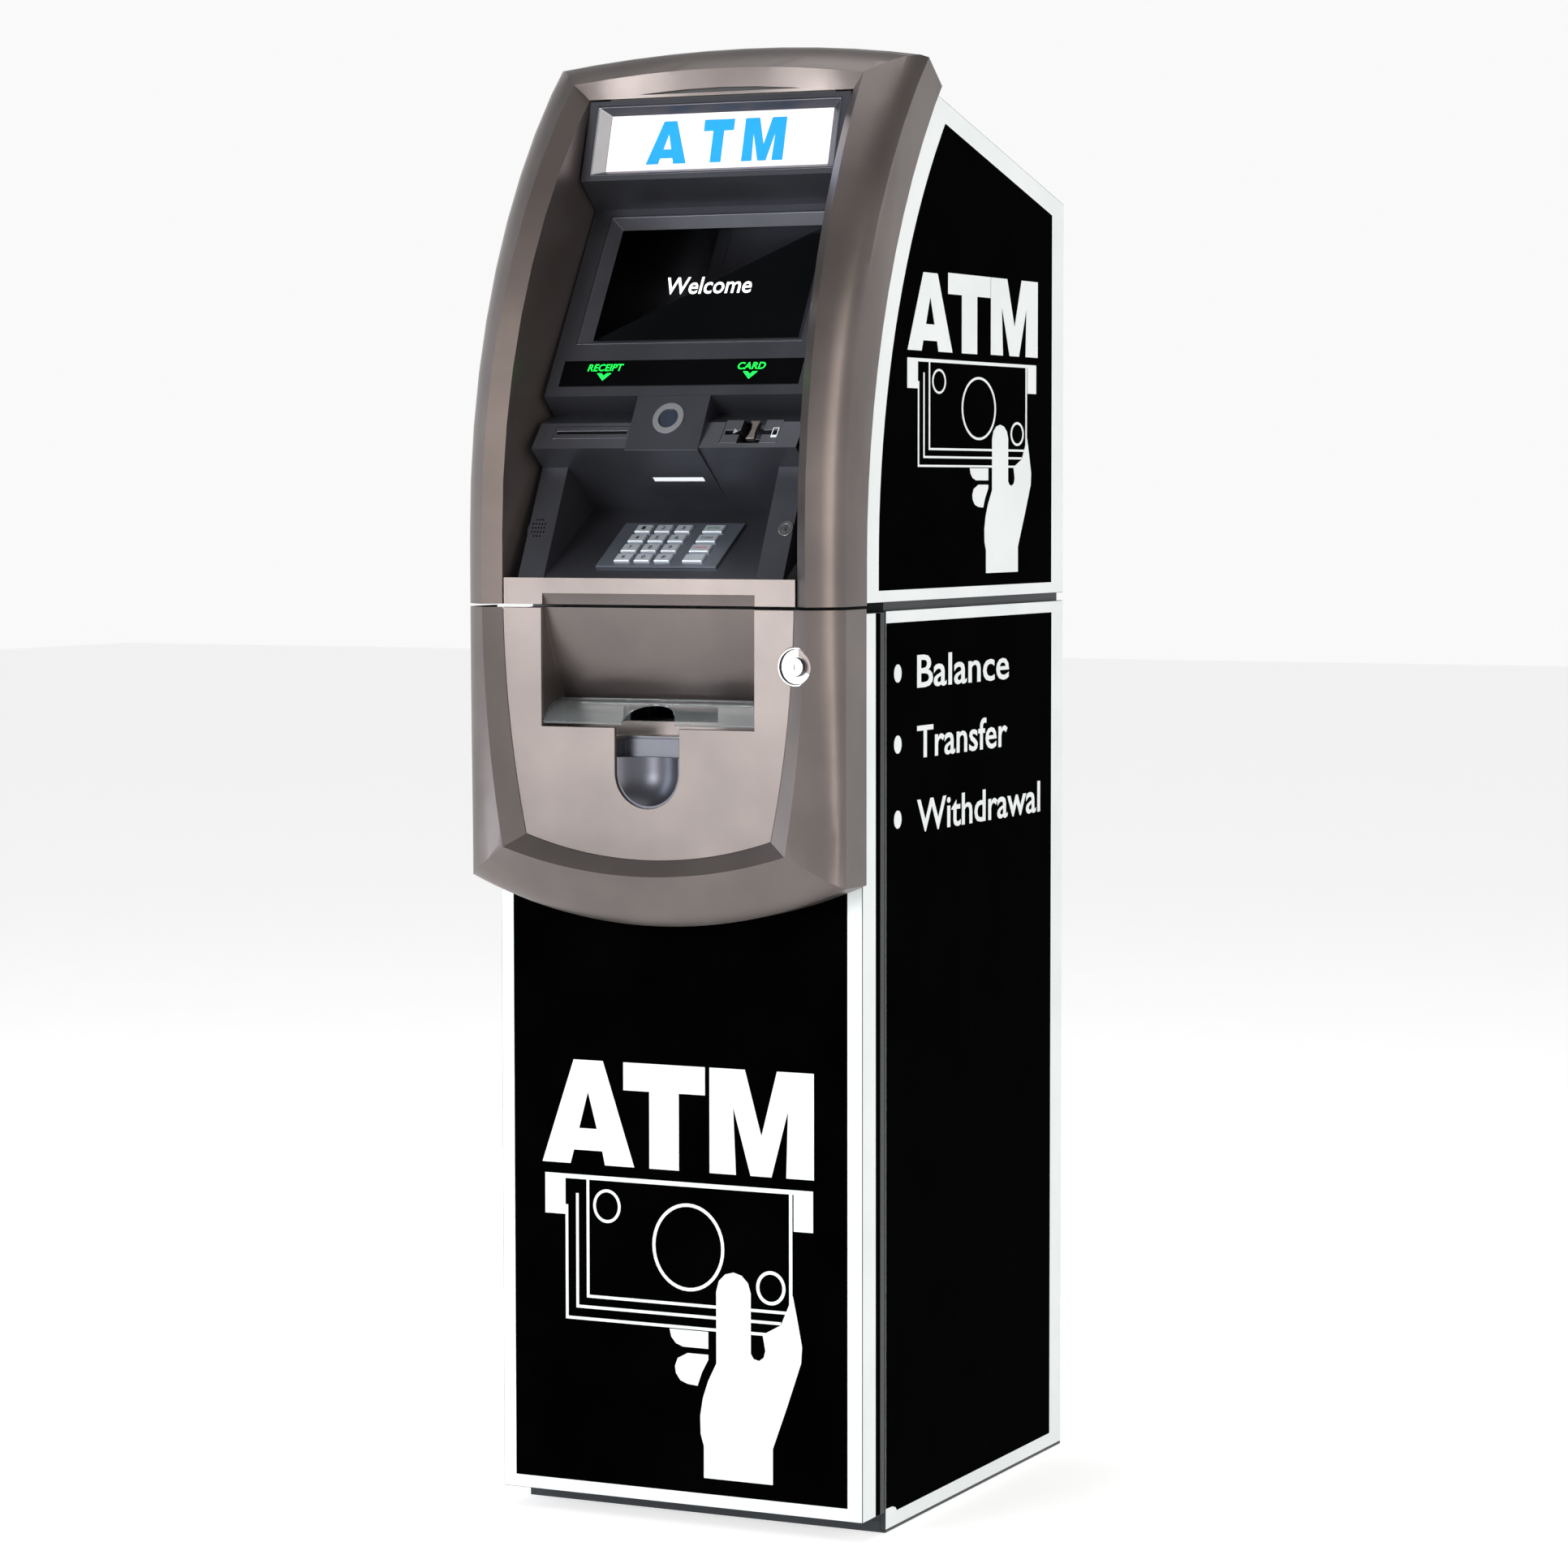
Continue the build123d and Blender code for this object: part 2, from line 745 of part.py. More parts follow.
def crown(x):
    """How far the top drops towards its ends, as an angle in degrees."""
    return degrees(x * x / (2 * top_crown_radius * ridge_radius * cos(radians(top_angle))))


clip_floor = split_height - 30
clip_front = arc_y - ridge_radius - 80


def top_outline(inset):
    """Side view of everything below the top band."""
    def outline(x):
        drop = crown(x)
        ridge = polar(ridge_radius - inset, top_angle - drop - inset * 0.03)
        outer = polar(ridge_radius + 60, top_angle - drop - inset * 0.03)
        band = []
        for inwards, outwards in band_points():
            radius = edge_radius + (ridge_radius - edge_radius) * outwards - inset * (0.4 + 0.6 * outwards)
            rise = top_edge_angle * (1 - inwards)
            band.append(polar(radius, top_angle + rise - drop - inset * 0.12))
        edge = polar(edge_radius - inset * 0.4, top_angle + top_edge_angle - drop - inset * 0.25)
        back = polar(inner_radius - 30, top_angle + top_back_angle - drop - inset * 0.25)
        return [outer, ridge] + band[::-1] + [edge, back, (back[0], clip_floor), (clip_front, clip_floor),
                                              (clip_front, outer[1] - 60)]
    return outline


def dish_top_outline(grow):
    """Side view of the hollow's upper limit: bevel, then the wall above the sign."""
    def outline(x):
        drop = crown(x)
        turn = grow * 0.08
        ridge = polar(ridge_radius, top_angle - drop + turn)
        outer = polar(ridge_radius + 60, top_angle - drop + turn)
        bevel = (sign_top[0], sign_top[1] + sign_margin + grow)
        back = (ceiling_back, bevel[1])
        return [outer, ridge, bevel, back, (back[0], clip_floor), (clip_front, clip_floor),
                (clip_front, outer[1] - 60)]
    return outline


def upper_bezel():
    reach = 51
    body = stacked(body_outline(0), fascia_bottom, reach) & across(top_outline(0), fascia_half + 1)
    core = stacked(body_outline(fascia_wall), fascia_bottom - 5, reach)
    core = core & across(top_outline(fascia_wall), fascia_half + 1)
    rear = back_arc_line(fascia_bottom - 10, 1560, 0, 16) + [(400, 1560), (400, fascia_bottom - 10)]
    rear_cut = side_prism(rear, -fascia_half - 5, fascia_half + 5)
    dish_wide = stacked(dish_outline(fascia_wall), fascia_bottom, reach)
    dish_wide = dish_wide & across(dish_top_outline(fascia_wall), fascia_half + 1)
    dish = stacked(dish_outline(0), fascia_bottom - 5, reach)
    dish = dish & across(dish_top_outline(0), fascia_half + 1)
    shell = body - core - rear_cut
    lining = body & dish_wide
    bezel = shell + lining - dish
    under = [(shelf_front[0] + lip_wall, fascia_bottom - 1), (shelf_front[0] + lip_wall, shelf_front[1] - 8),
             (shelf_back[0] + 8, shelf_back[1] - 8), (shelf_back[0] + 8, fascia_bottom - 1)]
    bezel -= side_prism(under, -ridge_half + 8, ridge_half - 8)
    return bezel - notch(fascia_hinge_y, *fascia_hinge_zone)


# ================================================================ upper fascia, centre panel
panel_line = [sign_top, sign_bottom, ledge_inner, strip_edge, recess_inner, mouth_top, mouth_edge,
              shelf_back, shelf_front]
sign_length = sqrt((sign_top[0] - sign_bottom[0]) ** 2 + (sign_top[1] - sign_bottom[1]) ** 2)
screen_length = sqrt((ledge_inner[0] - strip_edge[0]) ** 2 + (ledge_inner[1] - strip_edge[1]) ** 2)
shelf_length = sqrt((shelf_back[0] - shelf_front[0]) ** 2 + (shelf_back[1] - shelf_front[1]) ** 2)
sign_plane = panel_plane(sign_top, sign_bottom, sign_length / 2)
screen_plane = panel_plane(ledge_inner, strip_edge, screen_top_margin + screen_frame[1] / 2)
strip_plane = panel_plane(ledge_inner, strip_edge, screen_length - strip_margin - strip_size[1] / 2)
keypad_plane = panel_plane(shelf_back, shelf_front, shelf_length * 0.54)
mouth_plane = panel_plane(mouth_top, mouth_edge, 12)
slope_plane = panel_plane(mouth_edge, shelf_back, 48)
panel_half = inner_half - 0.3


def centre_panel():
    panel = sheet_prism(panel_line, panel_wall, -panel_half, panel_half)
    panel -= slab_on(sign_plane, sign_frame[0], sign_frame[1], -20, 20)
    panel -= slab_on(screen_plane, screen_frame[0], screen_frame[1], -20, 20)
    panel -= slab_on(strip_plane, strip_size[0], strip_size[1], -20, 20)
    panel -= slab_on(keypad_plane, keypad_size[0] - 2 * keypad_rim, keypad_size[1] - 2 * keypad_rim, -8, 8)
    panel -= slab_on(mouth_plane, mouth_size[0] + 6, 16, -8, 8, x=mouth_offset)
    panel -= slab_on(mouth_plane, 2 * card_bay_half, 30, -30, 8, x=card_offset)
    panel -= slab_on(slope_plane, lamp_size[0], lamp_size[1], -8, 8)
    panel -= rod_on(camera_plane, camera_radius, -30, 5)
    panel -= rod_on(cheek_plane, lock_ring_radius - 1, -lock_barrel_depth, 5, x=lock_offset)
    return panel


def mouth_block():
    """Receipt mouth: a thick plate behind the face with a wide paper slot."""
    plate = slab_on(mouth_plane, mouth_size[0] + 6, 16, -12, 0, x=mouth_offset)
    return plate - slab_on(mouth_plane, mouth_size[0], mouth_size[1], -30, 10, x=mouth_offset)


def card_bezel():
    """Card mouth with a thumb notch cut down through its middle."""
    body = slab_on(mouth_plane, 2 * card_bay_half, 30, -24, 0, x=card_offset)
    notch_cut = slab_on(mouth_plane, 24, 40, -14, 10, x=card_offset, y=-2)
    slot = slab_on(mouth_plane, 56, 5, -40, 10, x=card_offset, y=-1)
    return body - notch_cut - slot


def centre_column():
    """A raised rib between the two mouths, with a round camera seat."""
    top = (strip_edge[0] + 1, strip_edge[1] + 1)
    nose = (mouth_edge[0] - column_proud, mouth_edge[1] - column_proud)
    dy, dz = unit(shelf_back[0] - mouth_edge[0], shelf_back[1] - mouth_edge[1])
    foot = (mouth_edge[0] + dy * column_run, mouth_edge[1] + dz * column_run)
    outline = [top, nose, foot, (mouth_edge[0] + 16, mouth_edge[1] + 6), recess_inner]
    column = side_prism(outline, -column_half, column_half)
    column -= side_prism(panel_line + behind(panel_line, panel_wall)[::-1], -panel_half, panel_half)
    column = Part() + max(column.solids(), key=lambda s: s.volume)
    seat = rod_on(camera_plane, camera_radius, -14, 5)
    lamp = slab_on(slope_plane, lamp_size[0], lamp_size[1], -8, 20)
    return column - seat - lamp


camera_plane = panel_plane(strip_edge, mouth_edge, camera_drop)


def rod_on(plane, radius, low, high, x=0, y=0):
    return plane * Pos(x, y, (low + high) / 2) * Cylinder(radius, high - low)


def camera_lens():
    ring = rod_on(camera_plane, camera_radius, -14, -1) - rod_on(camera_plane, camera_radius - 4, -6, 5)
    return ring


def lamp_window():
    return slab_on(slope_plane, lamp_size[0], lamp_size[1], -panel_wall, 0.5)


def shelf_lip():
    """Upright front edge of the shelf; its underside starts the cash tray's curve."""
    half = ridge_half - bevel_width - 2
    top = shelf_front[1]
    lip = block(-half, half, lip_plane, lip_plane + lip_wall, fascia_bottom, top)
    scoop = [(lip_plane - 1, tray_top), (lip_plane - 1, fascia_bottom - 1),
             (lip_plane + 5.5, fascia_bottom - 1), (lip_plane + 3, fascia_bottom + 6)]
    return lip - side_prism(scoop, -tray_half, tray_half)


def bay_cheeks():
    triangle = [cheek_top, (shelf_front[0], shelf_front[1]), shelf_back]
    left = side_prism(triangle, -panel_half, -bay_half)
    right = side_prism(triangle, bay_half, panel_half)
    pocket = rod_on(cheek_plane, speaker_radius, -14, -2.5, x=speaker_offset)
    left -= pocket
    for row in range(-2, 3):
        for column in range(-2, 3):
            if row * row + column * column < 6:
                left -= rod_on(cheek_plane, grille_hole_radius, -5, 3,
                               x=speaker_offset + column * grille_pitch * 0.75, y=row * grille_pitch)
    right -= rod_on(cheek_plane, lock_ring_radius - 1, -80, 5, x=lock_offset)
    right -= rod_on(cheek_plane, lock_ring_radius, -2, 5, x=lock_offset)
    return [left, right]


cheek_plane = panel_plane(cheek_top, shelf_front, 66)


def speaker():
    return rod_on(cheek_plane, speaker_radius - 0.3, -11, -2.8, x=speaker_offset)


lock_barrel_depth = 62


def fascia_lock():
    ring = rod_on(cheek_plane, lock_ring_radius - 0.2, -1.9, 1.2, x=lock_offset)
    barrel = rod_on(cheek_plane, lock_ring_radius - 1.3, -lock_barrel_depth, -1.9, x=lock_offset)
    return ring + barrel - rod_on(cheek_plane, 4.5 + running, -90, 5, x=lock_offset)


def fascia_key_plug():
    plug = rod_on(cheek_plane, 4.5, -lock_barrel_depth - 4, 0.8, x=lock_offset)
    plug -= slab_on(cheek_plane, 1.2, 5, -3, 2, x=lock_offset)
    low = -lock_barrel_depth - 4
    cam = slab_on(cheek_plane, 12, 46, low, low + 3, x=lock_offset, y=-17)
    return plug + cam


def fascia_strike():
    """Bracket on the housing's right side sheet that the fascia's cam turns behind."""
    back = straight_back + front_gap
    inner = half_width - housing_sheet
    y, z = cam_centre()
    plate = block(inner - 3, inner, y - 12, back + 40, z - 12, z + 12)
    arm = block(lock_offset + 24, inner - 3, y - 12, y - 9, z - 12, z + 12)
    return plate + arm


def cam_centre():
    normal = cheek_plane.z_dir
    depth = lock_barrel_depth + 2.5
    return (cheek_plane.origin.Y - normal.Y * depth, cheek_plane.origin.Z - normal.Z * depth)


def sign_bezel():
    return tapered_frame(sign_plane, sign_frame, sign_glass, sign_recess, 2.5)


def sign_lens():
    return slab_on(sign_plane, sign_glass[0] + 2, sign_glass[1] + 2, -sign_recess - 2.5, -sign_recess)


def sign_lamp_box():
    return slab_on(sign_plane, sign_frame[0] - 8, sign_frame[1] - 8, -sign_recess - 24, -sign_recess - 2.5)


def screen_bezel():
    return tapered_frame(screen_plane, screen_frame, screen_glass, screen_recess, 2.5)


def screen_pane():
    width, height = screen_glass
    return slab_on(screen_plane, width + 2, height + 2, -screen_recess - 2.5, -screen_recess)


def display_module():
    return slab_on(screen_plane, screen_frame[0] - 6, screen_frame[1] - 6, -screen_recess - 26,
                   -screen_recess - 2.5)


def indicator_strip():
    return slab_on(strip_plane, strip_size[0] - 0.4, strip_size[1] - 0.4, -panel_wall, 0.4)


def receipt_printer():
    """Printer block with two arms that carry the roll's axle."""
    front = mouth_top[0] + 8
    printer = block(mouth_offset - 41, mouth_offset + 41, front, roll_y - 40, roll_z - 10, mouth_top[1] - 2.2)
    for side in (-1, 1):
        printer += block(mouth_offset + side * 38, mouth_offset + side * 41, roll_y - 45, roll_y + 8,
                         roll_z - 10, roll_z + 10)
    printer += rod("X", 4, (mouth_offset, roll_y, roll_z), 78)
    return printer


roll_y = -175
roll_z = 1062
roll_radius = 34


def paper_roll():
    roll = rod("X", roll_radius, (mouth_offset, roll_y, roll_z), 58)
    return roll - rod("X", 4 + running, (mouth_offset, roll_y, roll_z), 80)


def card_reader():
    front = mouth_top[0] + 20.5
    return block(card_offset - card_bay_half + 2, card_offset + card_bay_half - 2, front, front + 95,
                 mouth_top[1] - 46, mouth_top[1])


# ================================================================ keypad
keypad_top = keypad_plate_thickness


def key_places():
    """Centre x, centre y and width of each key, row by row from the back."""
    places = []
    row_width = function_offset + function_key_width
    left = -row_width / 2
    for row in range(4):
        y = (1.5 - row) * key_pitch_y
        for column in range(3):
            places.append((left + column * number_pitch + number_key_width / 2, y, number_key_width))
        places.append((left + function_offset + function_key_width / 2, y, function_key_width))
    return places


def keypad_plate():
    plate = slab_on(keypad_plane, keypad_size[0], keypad_size[1], 0, keypad_plate_thickness)
    for x, y, width in key_places():
        plate -= slab_on(keypad_plane, width + 2 * key_gap, key_length + 2 * key_gap, -5, 5, x=x, y=y)
    return plate


def keypad_base():
    """Tray under the plate that carries the key switches."""
    width = keypad_size[0] - 2 * keypad_rim - 0.6
    height = keypad_size[1] - 2 * keypad_rim - 0.6
    tray = slab_on(keypad_plane, width, height, -10, 0)
    return tray - slab_on(keypad_plane, width - 5, height - 1.6, -4, 1)


def key_cap(x, y, width):
    cap = slab_on(keypad_plane, width, key_length, -4 + key_travel + 0.3, keypad_top + key_proud, x=x, y=y)
    edges = cap.faces().sort_by(lambda f: f.center().dot(keypad_plane.z_dir))[-1].edges()
    return chamfer(edges, 0.8)


# ================================================================ lower cover
def cover_side(x_top, x_mid, x_low, y, z_low):
    """One side of the cover's outline: bowed, or straight where both ends line up."""
    top = (x_top, y, cover_top)
    low = (x_low, y, z_low)
    if abs(x_top - x_low) < 1:
        return Edge.make_line(top, low)
    return Edge.make_three_point_arc(top, (x_mid, y, (cover_top + z_low) / 2), low)


def cover_outline(y, half_top, corner_x, corner_z, centre_z):
    """Front view of the cover at one depth: bowed sides and a rounded lower arc."""
    side_mid_x = half_top - (half_top - corner_x) * 0.28
    right = cover_side(half_top, side_mid_x, corner_x, y, corner_z)
    left = cover_side(-half_top, -side_mid_x, -corner_x, y, corner_z)
    low = Edge.make_three_point_arc((corner_x, y, corner_z), (0, y, centre_z), (-corner_x, y, corner_z))
    return Wire([right, low, left, Edge.make_line((-half_top, y, cover_top), (half_top, y, cover_top))])


def cover_solid(levels):
    """A solid through several outlines, one behind the other."""
    wires = [cover_outline(*level) for level in levels]
    return Part() + Solid.make_loft(wires, ruled=True)


ridge_plane = arc_y - ridge_radius
edge_plane = arc_y - edge_radius
face_plane = ridge_plane + face_depth
ridge_corner_x = 154
ridge_corner_z = 679


def cover_levels(inset, back):
    """Outlines from the back edge forward to the ridge, moved inwards by a wall."""
    edge_half = fascia_half - inset
    corner_z = cover_corner_height - 4 + inset
    low = cover_bottom + inset
    levels = [(back, edge_half, edge_half, corner_z, low),
              (edge_plane + inset * 0.3, edge_half, edge_half, corner_z, low)]
    for inwards, outwards in band_points():
        side_inset = inset * (1 - 0.6 * inwards)
        y = edge_plane + (ridge_plane - edge_plane) * outwards + inset * (0.3 + 0.6 * outwards)
        half_top = fascia_half - (fascia_half - ridge_half) * inwards - side_inset
        corner_x = fascia_half - (fascia_half - ridge_corner_x) * inwards - side_inset
        rise = ridge_corner_z - cover_corner_height + 4
        level_z = cover_corner_height - 4 + rise * inwards + side_inset
        level_low = cover_bottom + (ridge_bottom - cover_bottom) * inwards + side_inset
        levels.append((y, half_top, corner_x, level_z, level_low))
    levels.append((ridge_plane + inset, ridge_half - inset * 0.3, ridge_corner_x - inset * 0.3,
                   ridge_corner_z + inset * 0.3, ridge_bottom + inset * 0.3))
    return levels


def dish_levels(grow):
    """Outlines of the shallow dish inside the ridge."""
    bevel_half = ridge_half - face_bevel_width
    return [(ridge_plane - 4, ridge_half + grow, ridge_corner_x + grow, ridge_corner_z - grow,
             ridge_bottom - grow),
            (ridge_plane, ridge_half + grow, ridge_corner_x + grow, ridge_corner_z - grow,
             ridge_bottom - grow),
            (face_plane, bevel_half + grow, ridge_corner_x - face_bevel_width - 3 + grow,
             ridge_corner_z + 13 - grow, ridge_bottom + face_bevel_rise - grow)]


def lock_recess(y0, y1, radius):
    return rod("Y", radius, (cover_lock_x, (y0 + y1) / 2, cover_lock_z), y1 - y0)


def cover_bezel():
    body = cover_solid(cover_levels(0, cover_back))
    core = cover_solid(cover_levels(fascia_wall, cover_back + 5))
    core += block(-fascia_half + fascia_wall, fascia_half - fascia_wall, cover_back - 40, cover_back + 5,
                  cover_top - 40, cover_top + 5)
    shell = body - core
    top_levels = dish_levels(fascia_wall)
    lining = body & (cover_solid(top_levels))
    dish = cover_solid(dish_levels(0))
    through = cover_solid([(face_plane - 0.01,) + dish_levels(0)[2][1:],
                           (face_plane + 30,) + dish_levels(0)[2][1:]])
    bezel = shell + lining - dish - through
    bezel -= lock_recess(ridge_plane - 5, face_plane + 20, cover_lock_recess + 2)
    return bezel - notch(cover_hinge_y, *cover_hinge_zone)


def scoop_outline_cut(y0, y1):
    """Straight-sided cut-out with a round lower end."""
    middle = scoop_bottom + scoop_half
    cut = block(-scoop_half, scoop_half, y0, y1, middle, tray_bottom + 1)
    return cut + rod("Y", scoop_half, (0, (y0 + y1) / 2, middle), y1 - y0)


def cover_face():
    wires = [cover_outline(face_plane, *dish_levels(0)[2][1:]),
             cover_outline(face_plane + fascia_wall, *dish_levels(0)[2][1:])]
    face = Part() + Solid.make_loft(wires, ruled=True)
    face -= block(-tray_half, tray_half, face_plane - 1, face_plane + 10, tray_bottom, cover_top + 1)
    face -= scoop_outline_cut(face_plane - 1, face_plane + 10)
    return face - lock_recess(face_plane - 10, face_plane + 20, cover_lock_recess + 2)


tray_front_top = (lip_plane + 5.5, cover_top)
tray_mid = (-328.4, 869.3)
tray_low = (tray_back, slot_bottom + slot_height + 4)
tray_floor = tray_bottom - 9


def cash_tray():
    """Curved rear wall, floor and two side cheeks of the note pocket."""
    inner = face_plane + fascia_wall
    face = make_face(Curve() + [
        ThreePointArc((0, *tray_front_top), (0, *tray_mid), (0, *tray_low)),
        Line((0, *tray_low), (0, tray_low[0] + tray_sheet, tray_low[1])),
        ThreePointArc((0, tray_low[0] + tray_sheet, tray_low[1]),
                      (0, tray_mid[0] + tray_sheet, tray_mid[1]),
                      (0, tray_front_top[0] + tray_sheet, tray_front_top[1])),
        Line((0, tray_front_top[0] + tray_sheet, tray_front_top[1]), (0, *tray_front_top))])
    wall = extrude(face, amount=tray_half, both=True, dir=(1, 0, 0))
    back_low = block(-tray_half, tray_half, tray_back, tray_back + tray_sheet, tray_floor - tray_sheet,
                     tray_low[1])
    back_low -= door_slot(tray_back - 5, tray_back + 10)
    floor = block(-tray_half, tray_half, inner, tray_back, tray_floor - tray_sheet, tray_floor)
    floor -= block(-scoop_half, scoop_half, inner - 1, inner + 22, tray_floor - 5, tray_floor + 1)
    lip = block(-tray_half, tray_half, inner, inner + 1.5, tray_floor, tray_bottom)
    lip -= block(-scoop_half, scoop_half, inner - 1, inner + 5, tray_floor - 1, tray_bottom + 1)
    tray = wall + back_low + floor + lip
    for side in (-1, 1):
        cheek = block(side * tray_half, side * (tray_half + tray_sheet), inner, tray_back + tray_sheet,
                      tray_floor - tray_sheet, cover_top)
        cheek -= rod("X", flap_pin_radius + running, (side * tray_half, flap_axis[0], flap_axis[1]), 20)
        tray += cheek
    return tray


flap_axis = (tray_back - 12, slot_bottom + slot_height + 5)


def cash_flap():
    """Clear arched lid over the notes, with a round thumb cut-out and two hinge pins."""
    width = tray_half - flap_clearance
    back_y, back_z = flap_axis
    front = (face_plane + 2, tray_bottom + 2.5)
    crest = ((back_y + front[0]) / 2 - 3, (back_z + front[1]) / 2 + 5)
    profile = make_face(Curve() + [
        ThreePointArc((-width, back_y, back_z + 1), (-width, crest[0], crest[1] + flap_thickness),
                      (-width, front[0], front[1] + flap_thickness)),
        Line((-width, front[0], front[1] + flap_thickness), (-width, front[0] + 1, front[1])),
        ThreePointArc((-width, front[0] + 1, front[1]), (-width, crest[0], crest[1]),
                      (-width, back_y, back_z - 1)),
        Line((-width, back_y, back_z - 1), (-width, back_y, back_z + 1))])
    flap = extrude(profile, amount=2 * width, dir=(1, 0, 0))
    flap -= rod("Z", 31, (0, front[0] - 10, tray_bottom + 10), 60)
    flap += rod("X", flap_pin_radius, (0, back_y, back_z), 2 * (tray_half + tray_sheet))
    return flap


def scoop_bowl():
    """Thumb scoop below the tray: a flat step, then a round bowl."""
    front = face_plane + fascia_wall
    middle = scoop_bottom + scoop_half
    reach = (scoop_half ** 2 + scoop_depth ** 2) / (2 * scoop_depth)
    half = scoop_half + 4
    body = block(-half, half, front, front + 24, scoop_bottom - 3, tray_floor - tray_sheet)
    centre_y = face_plane - (reach - scoop_depth)
    bowl = Pos(0, centre_y, middle) * Sphere(reach)
    bowl += rod("Z", reach, (0, centre_y, (middle + scoop_ledge) / 2), scoop_ledge - middle)
    step = block(-scoop_half, scoop_half, front - 1, front + 20, scoop_ledge, tray_floor + 5)
    return body - bowl - step


cover_barrel_end = door_front - 8


def cover_lock():
    """Dished ring, barrel and rear nut of the cover's cam lock."""
    dish = lock_recess(face_plane - 2, face_plane + 4, cover_lock_recess + 2)
    dish -= lock_recess(face_plane - 3, face_plane + 1, cover_lock_recess)
    ring = lock_recess(face_plane - 5, face_plane + 2, 9.2)
    barrel = lock_recess(face_plane, cover_barrel_end, 7.5)
    body = dish + ring + barrel
    return body - lock_recess(face_plane - 8, cover_barrel_end + 5, 5 + running)


def cover_key_plug():
    plug = lock_recess(face_plane - 4.5, cover_barrel_end + 4, 5)
    plug -= block(cover_lock_x - 0.6, cover_lock_x + 0.6, face_plane - 6, face_plane - 2,
                  cover_lock_z - 3, cover_lock_z + 3)
    cam = block(cover_lock_x - 6, cover_lock_x + 6, cover_barrel_end + 0.3, cover_barrel_end + 3.3,
                cover_lock_z - cover_cam_length, cover_lock_z + 7)
    return plug + cam


# ================================================================ writing the sub-parts
os.makedirs("parts", exist_ok=True)

save("base_plate", base_plate())
save("vault_walls", *vault_walls())
save("vault_frame", *door_jambs(), *seam_frame())
save("housing_shell", *housing_shell())
save("power_inlet", power_inlet())
save("power_rocker", power_rocker())
save("control_box", control_box(), circuit_board())
save("dispenser_frame", *dispenser_frame(), dispenser_shelf(), *note_chute(), *cassette_rails())
save("feed_shaft", feed_shaft())
save("cash_cassette", cash_cassette(), cassette_lid(), cassette_grip())

door_fixed = []
door_moving = []
for zone in door_hinge_zones:
    still, turning = hinge(door_hinge_y, *zone, 3, door_hinge_y + 24, door_hinge_y - 16,
                           (hinge_x - 2, -half_width), (hinge_x - 2, -half_width))
    door_fixed.append(still)
    door_moving.append(turning)
fascia_fixed, fascia_moving = hinge(
    fascia_hinge_y, *fascia_hinge_zone, 5, fascia_hinge_y + 26, fascia_hinge_y - 20,
    (hinge_x - 1, -half_width), (-fascia_half + fascia_wall, -fascia_half + fascia_wall + hinge_leaf))
cover_fixed, cover_moving = hinge(
    cover_hinge_y, *cover_hinge_zone, 5, cover_hinge_y + 22, cover_hinge_y - 20,
    (hinge_x - 1, -half_width), (-fascia_half + fascia_wall, -fascia_half + fascia_wall + hinge_leaf))
save("cabinet_hardware", *door_fixed, fascia_fixed, fascia_strike())
save("door_hardware", *door_moving, cover_fixed, *cover_strike())
save("fascia_hinge_leaf", fascia_moving)
save("cover_hinge_leaf", cover_moving)

save("door_skin", door_skin())
save("door_slab", *door_slab(), *door_posts())
save("door_lock_works", *bolt_guides(), lock_case())
save("bolt_bar", bolt_bar())
save("door_handle", door_handle())
save("combination_dial", combination_dial())

save("upper_bezel", upper_bezel())
save("centre_panel", centre_panel(), shelf_lip())
save("sign_bezel", sign_bezel())
save("sign_lens", sign_lens())
save("screen_bezel", screen_bezel())
save("screen_glass", screen_pane())
save("display_module", display_module(), sign_lamp_box())
save("indicator_strip", indicator_strip())
save("mouth_block", mouth_block(), card_bezel())
save("centre_column", centre_column())
save("camera_lens", camera_lens(), lamp_window())
save("bay_cheeks", *bay_cheeks(), speaker())
save("fascia_lock", fascia_lock())
save("fascia_key_plug", fascia_key_plug())
save("receipt_printer", receipt_printer())
save("paper_roll", paper_roll())
save("card_reader", card_reader())
save("keypad_plate", keypad_plate(), keypad_base())
for number, (x, y, width) in enumerate(key_places()):
    save("key_%02d" % (number + 1), key_cap(x, y, width))

save("cover_bezel", cover_bezel())
save("cover_face", cover_face())
save("cash_tray", cash_tray(), scoop_bowl())
save("cash_flap", cash_flap())
save("cover_lock", cover_lock())
save("cover_key_plug", cover_key_plug())
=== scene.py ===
import json
import math

import bpy
from mathutils import Matrix, Vector

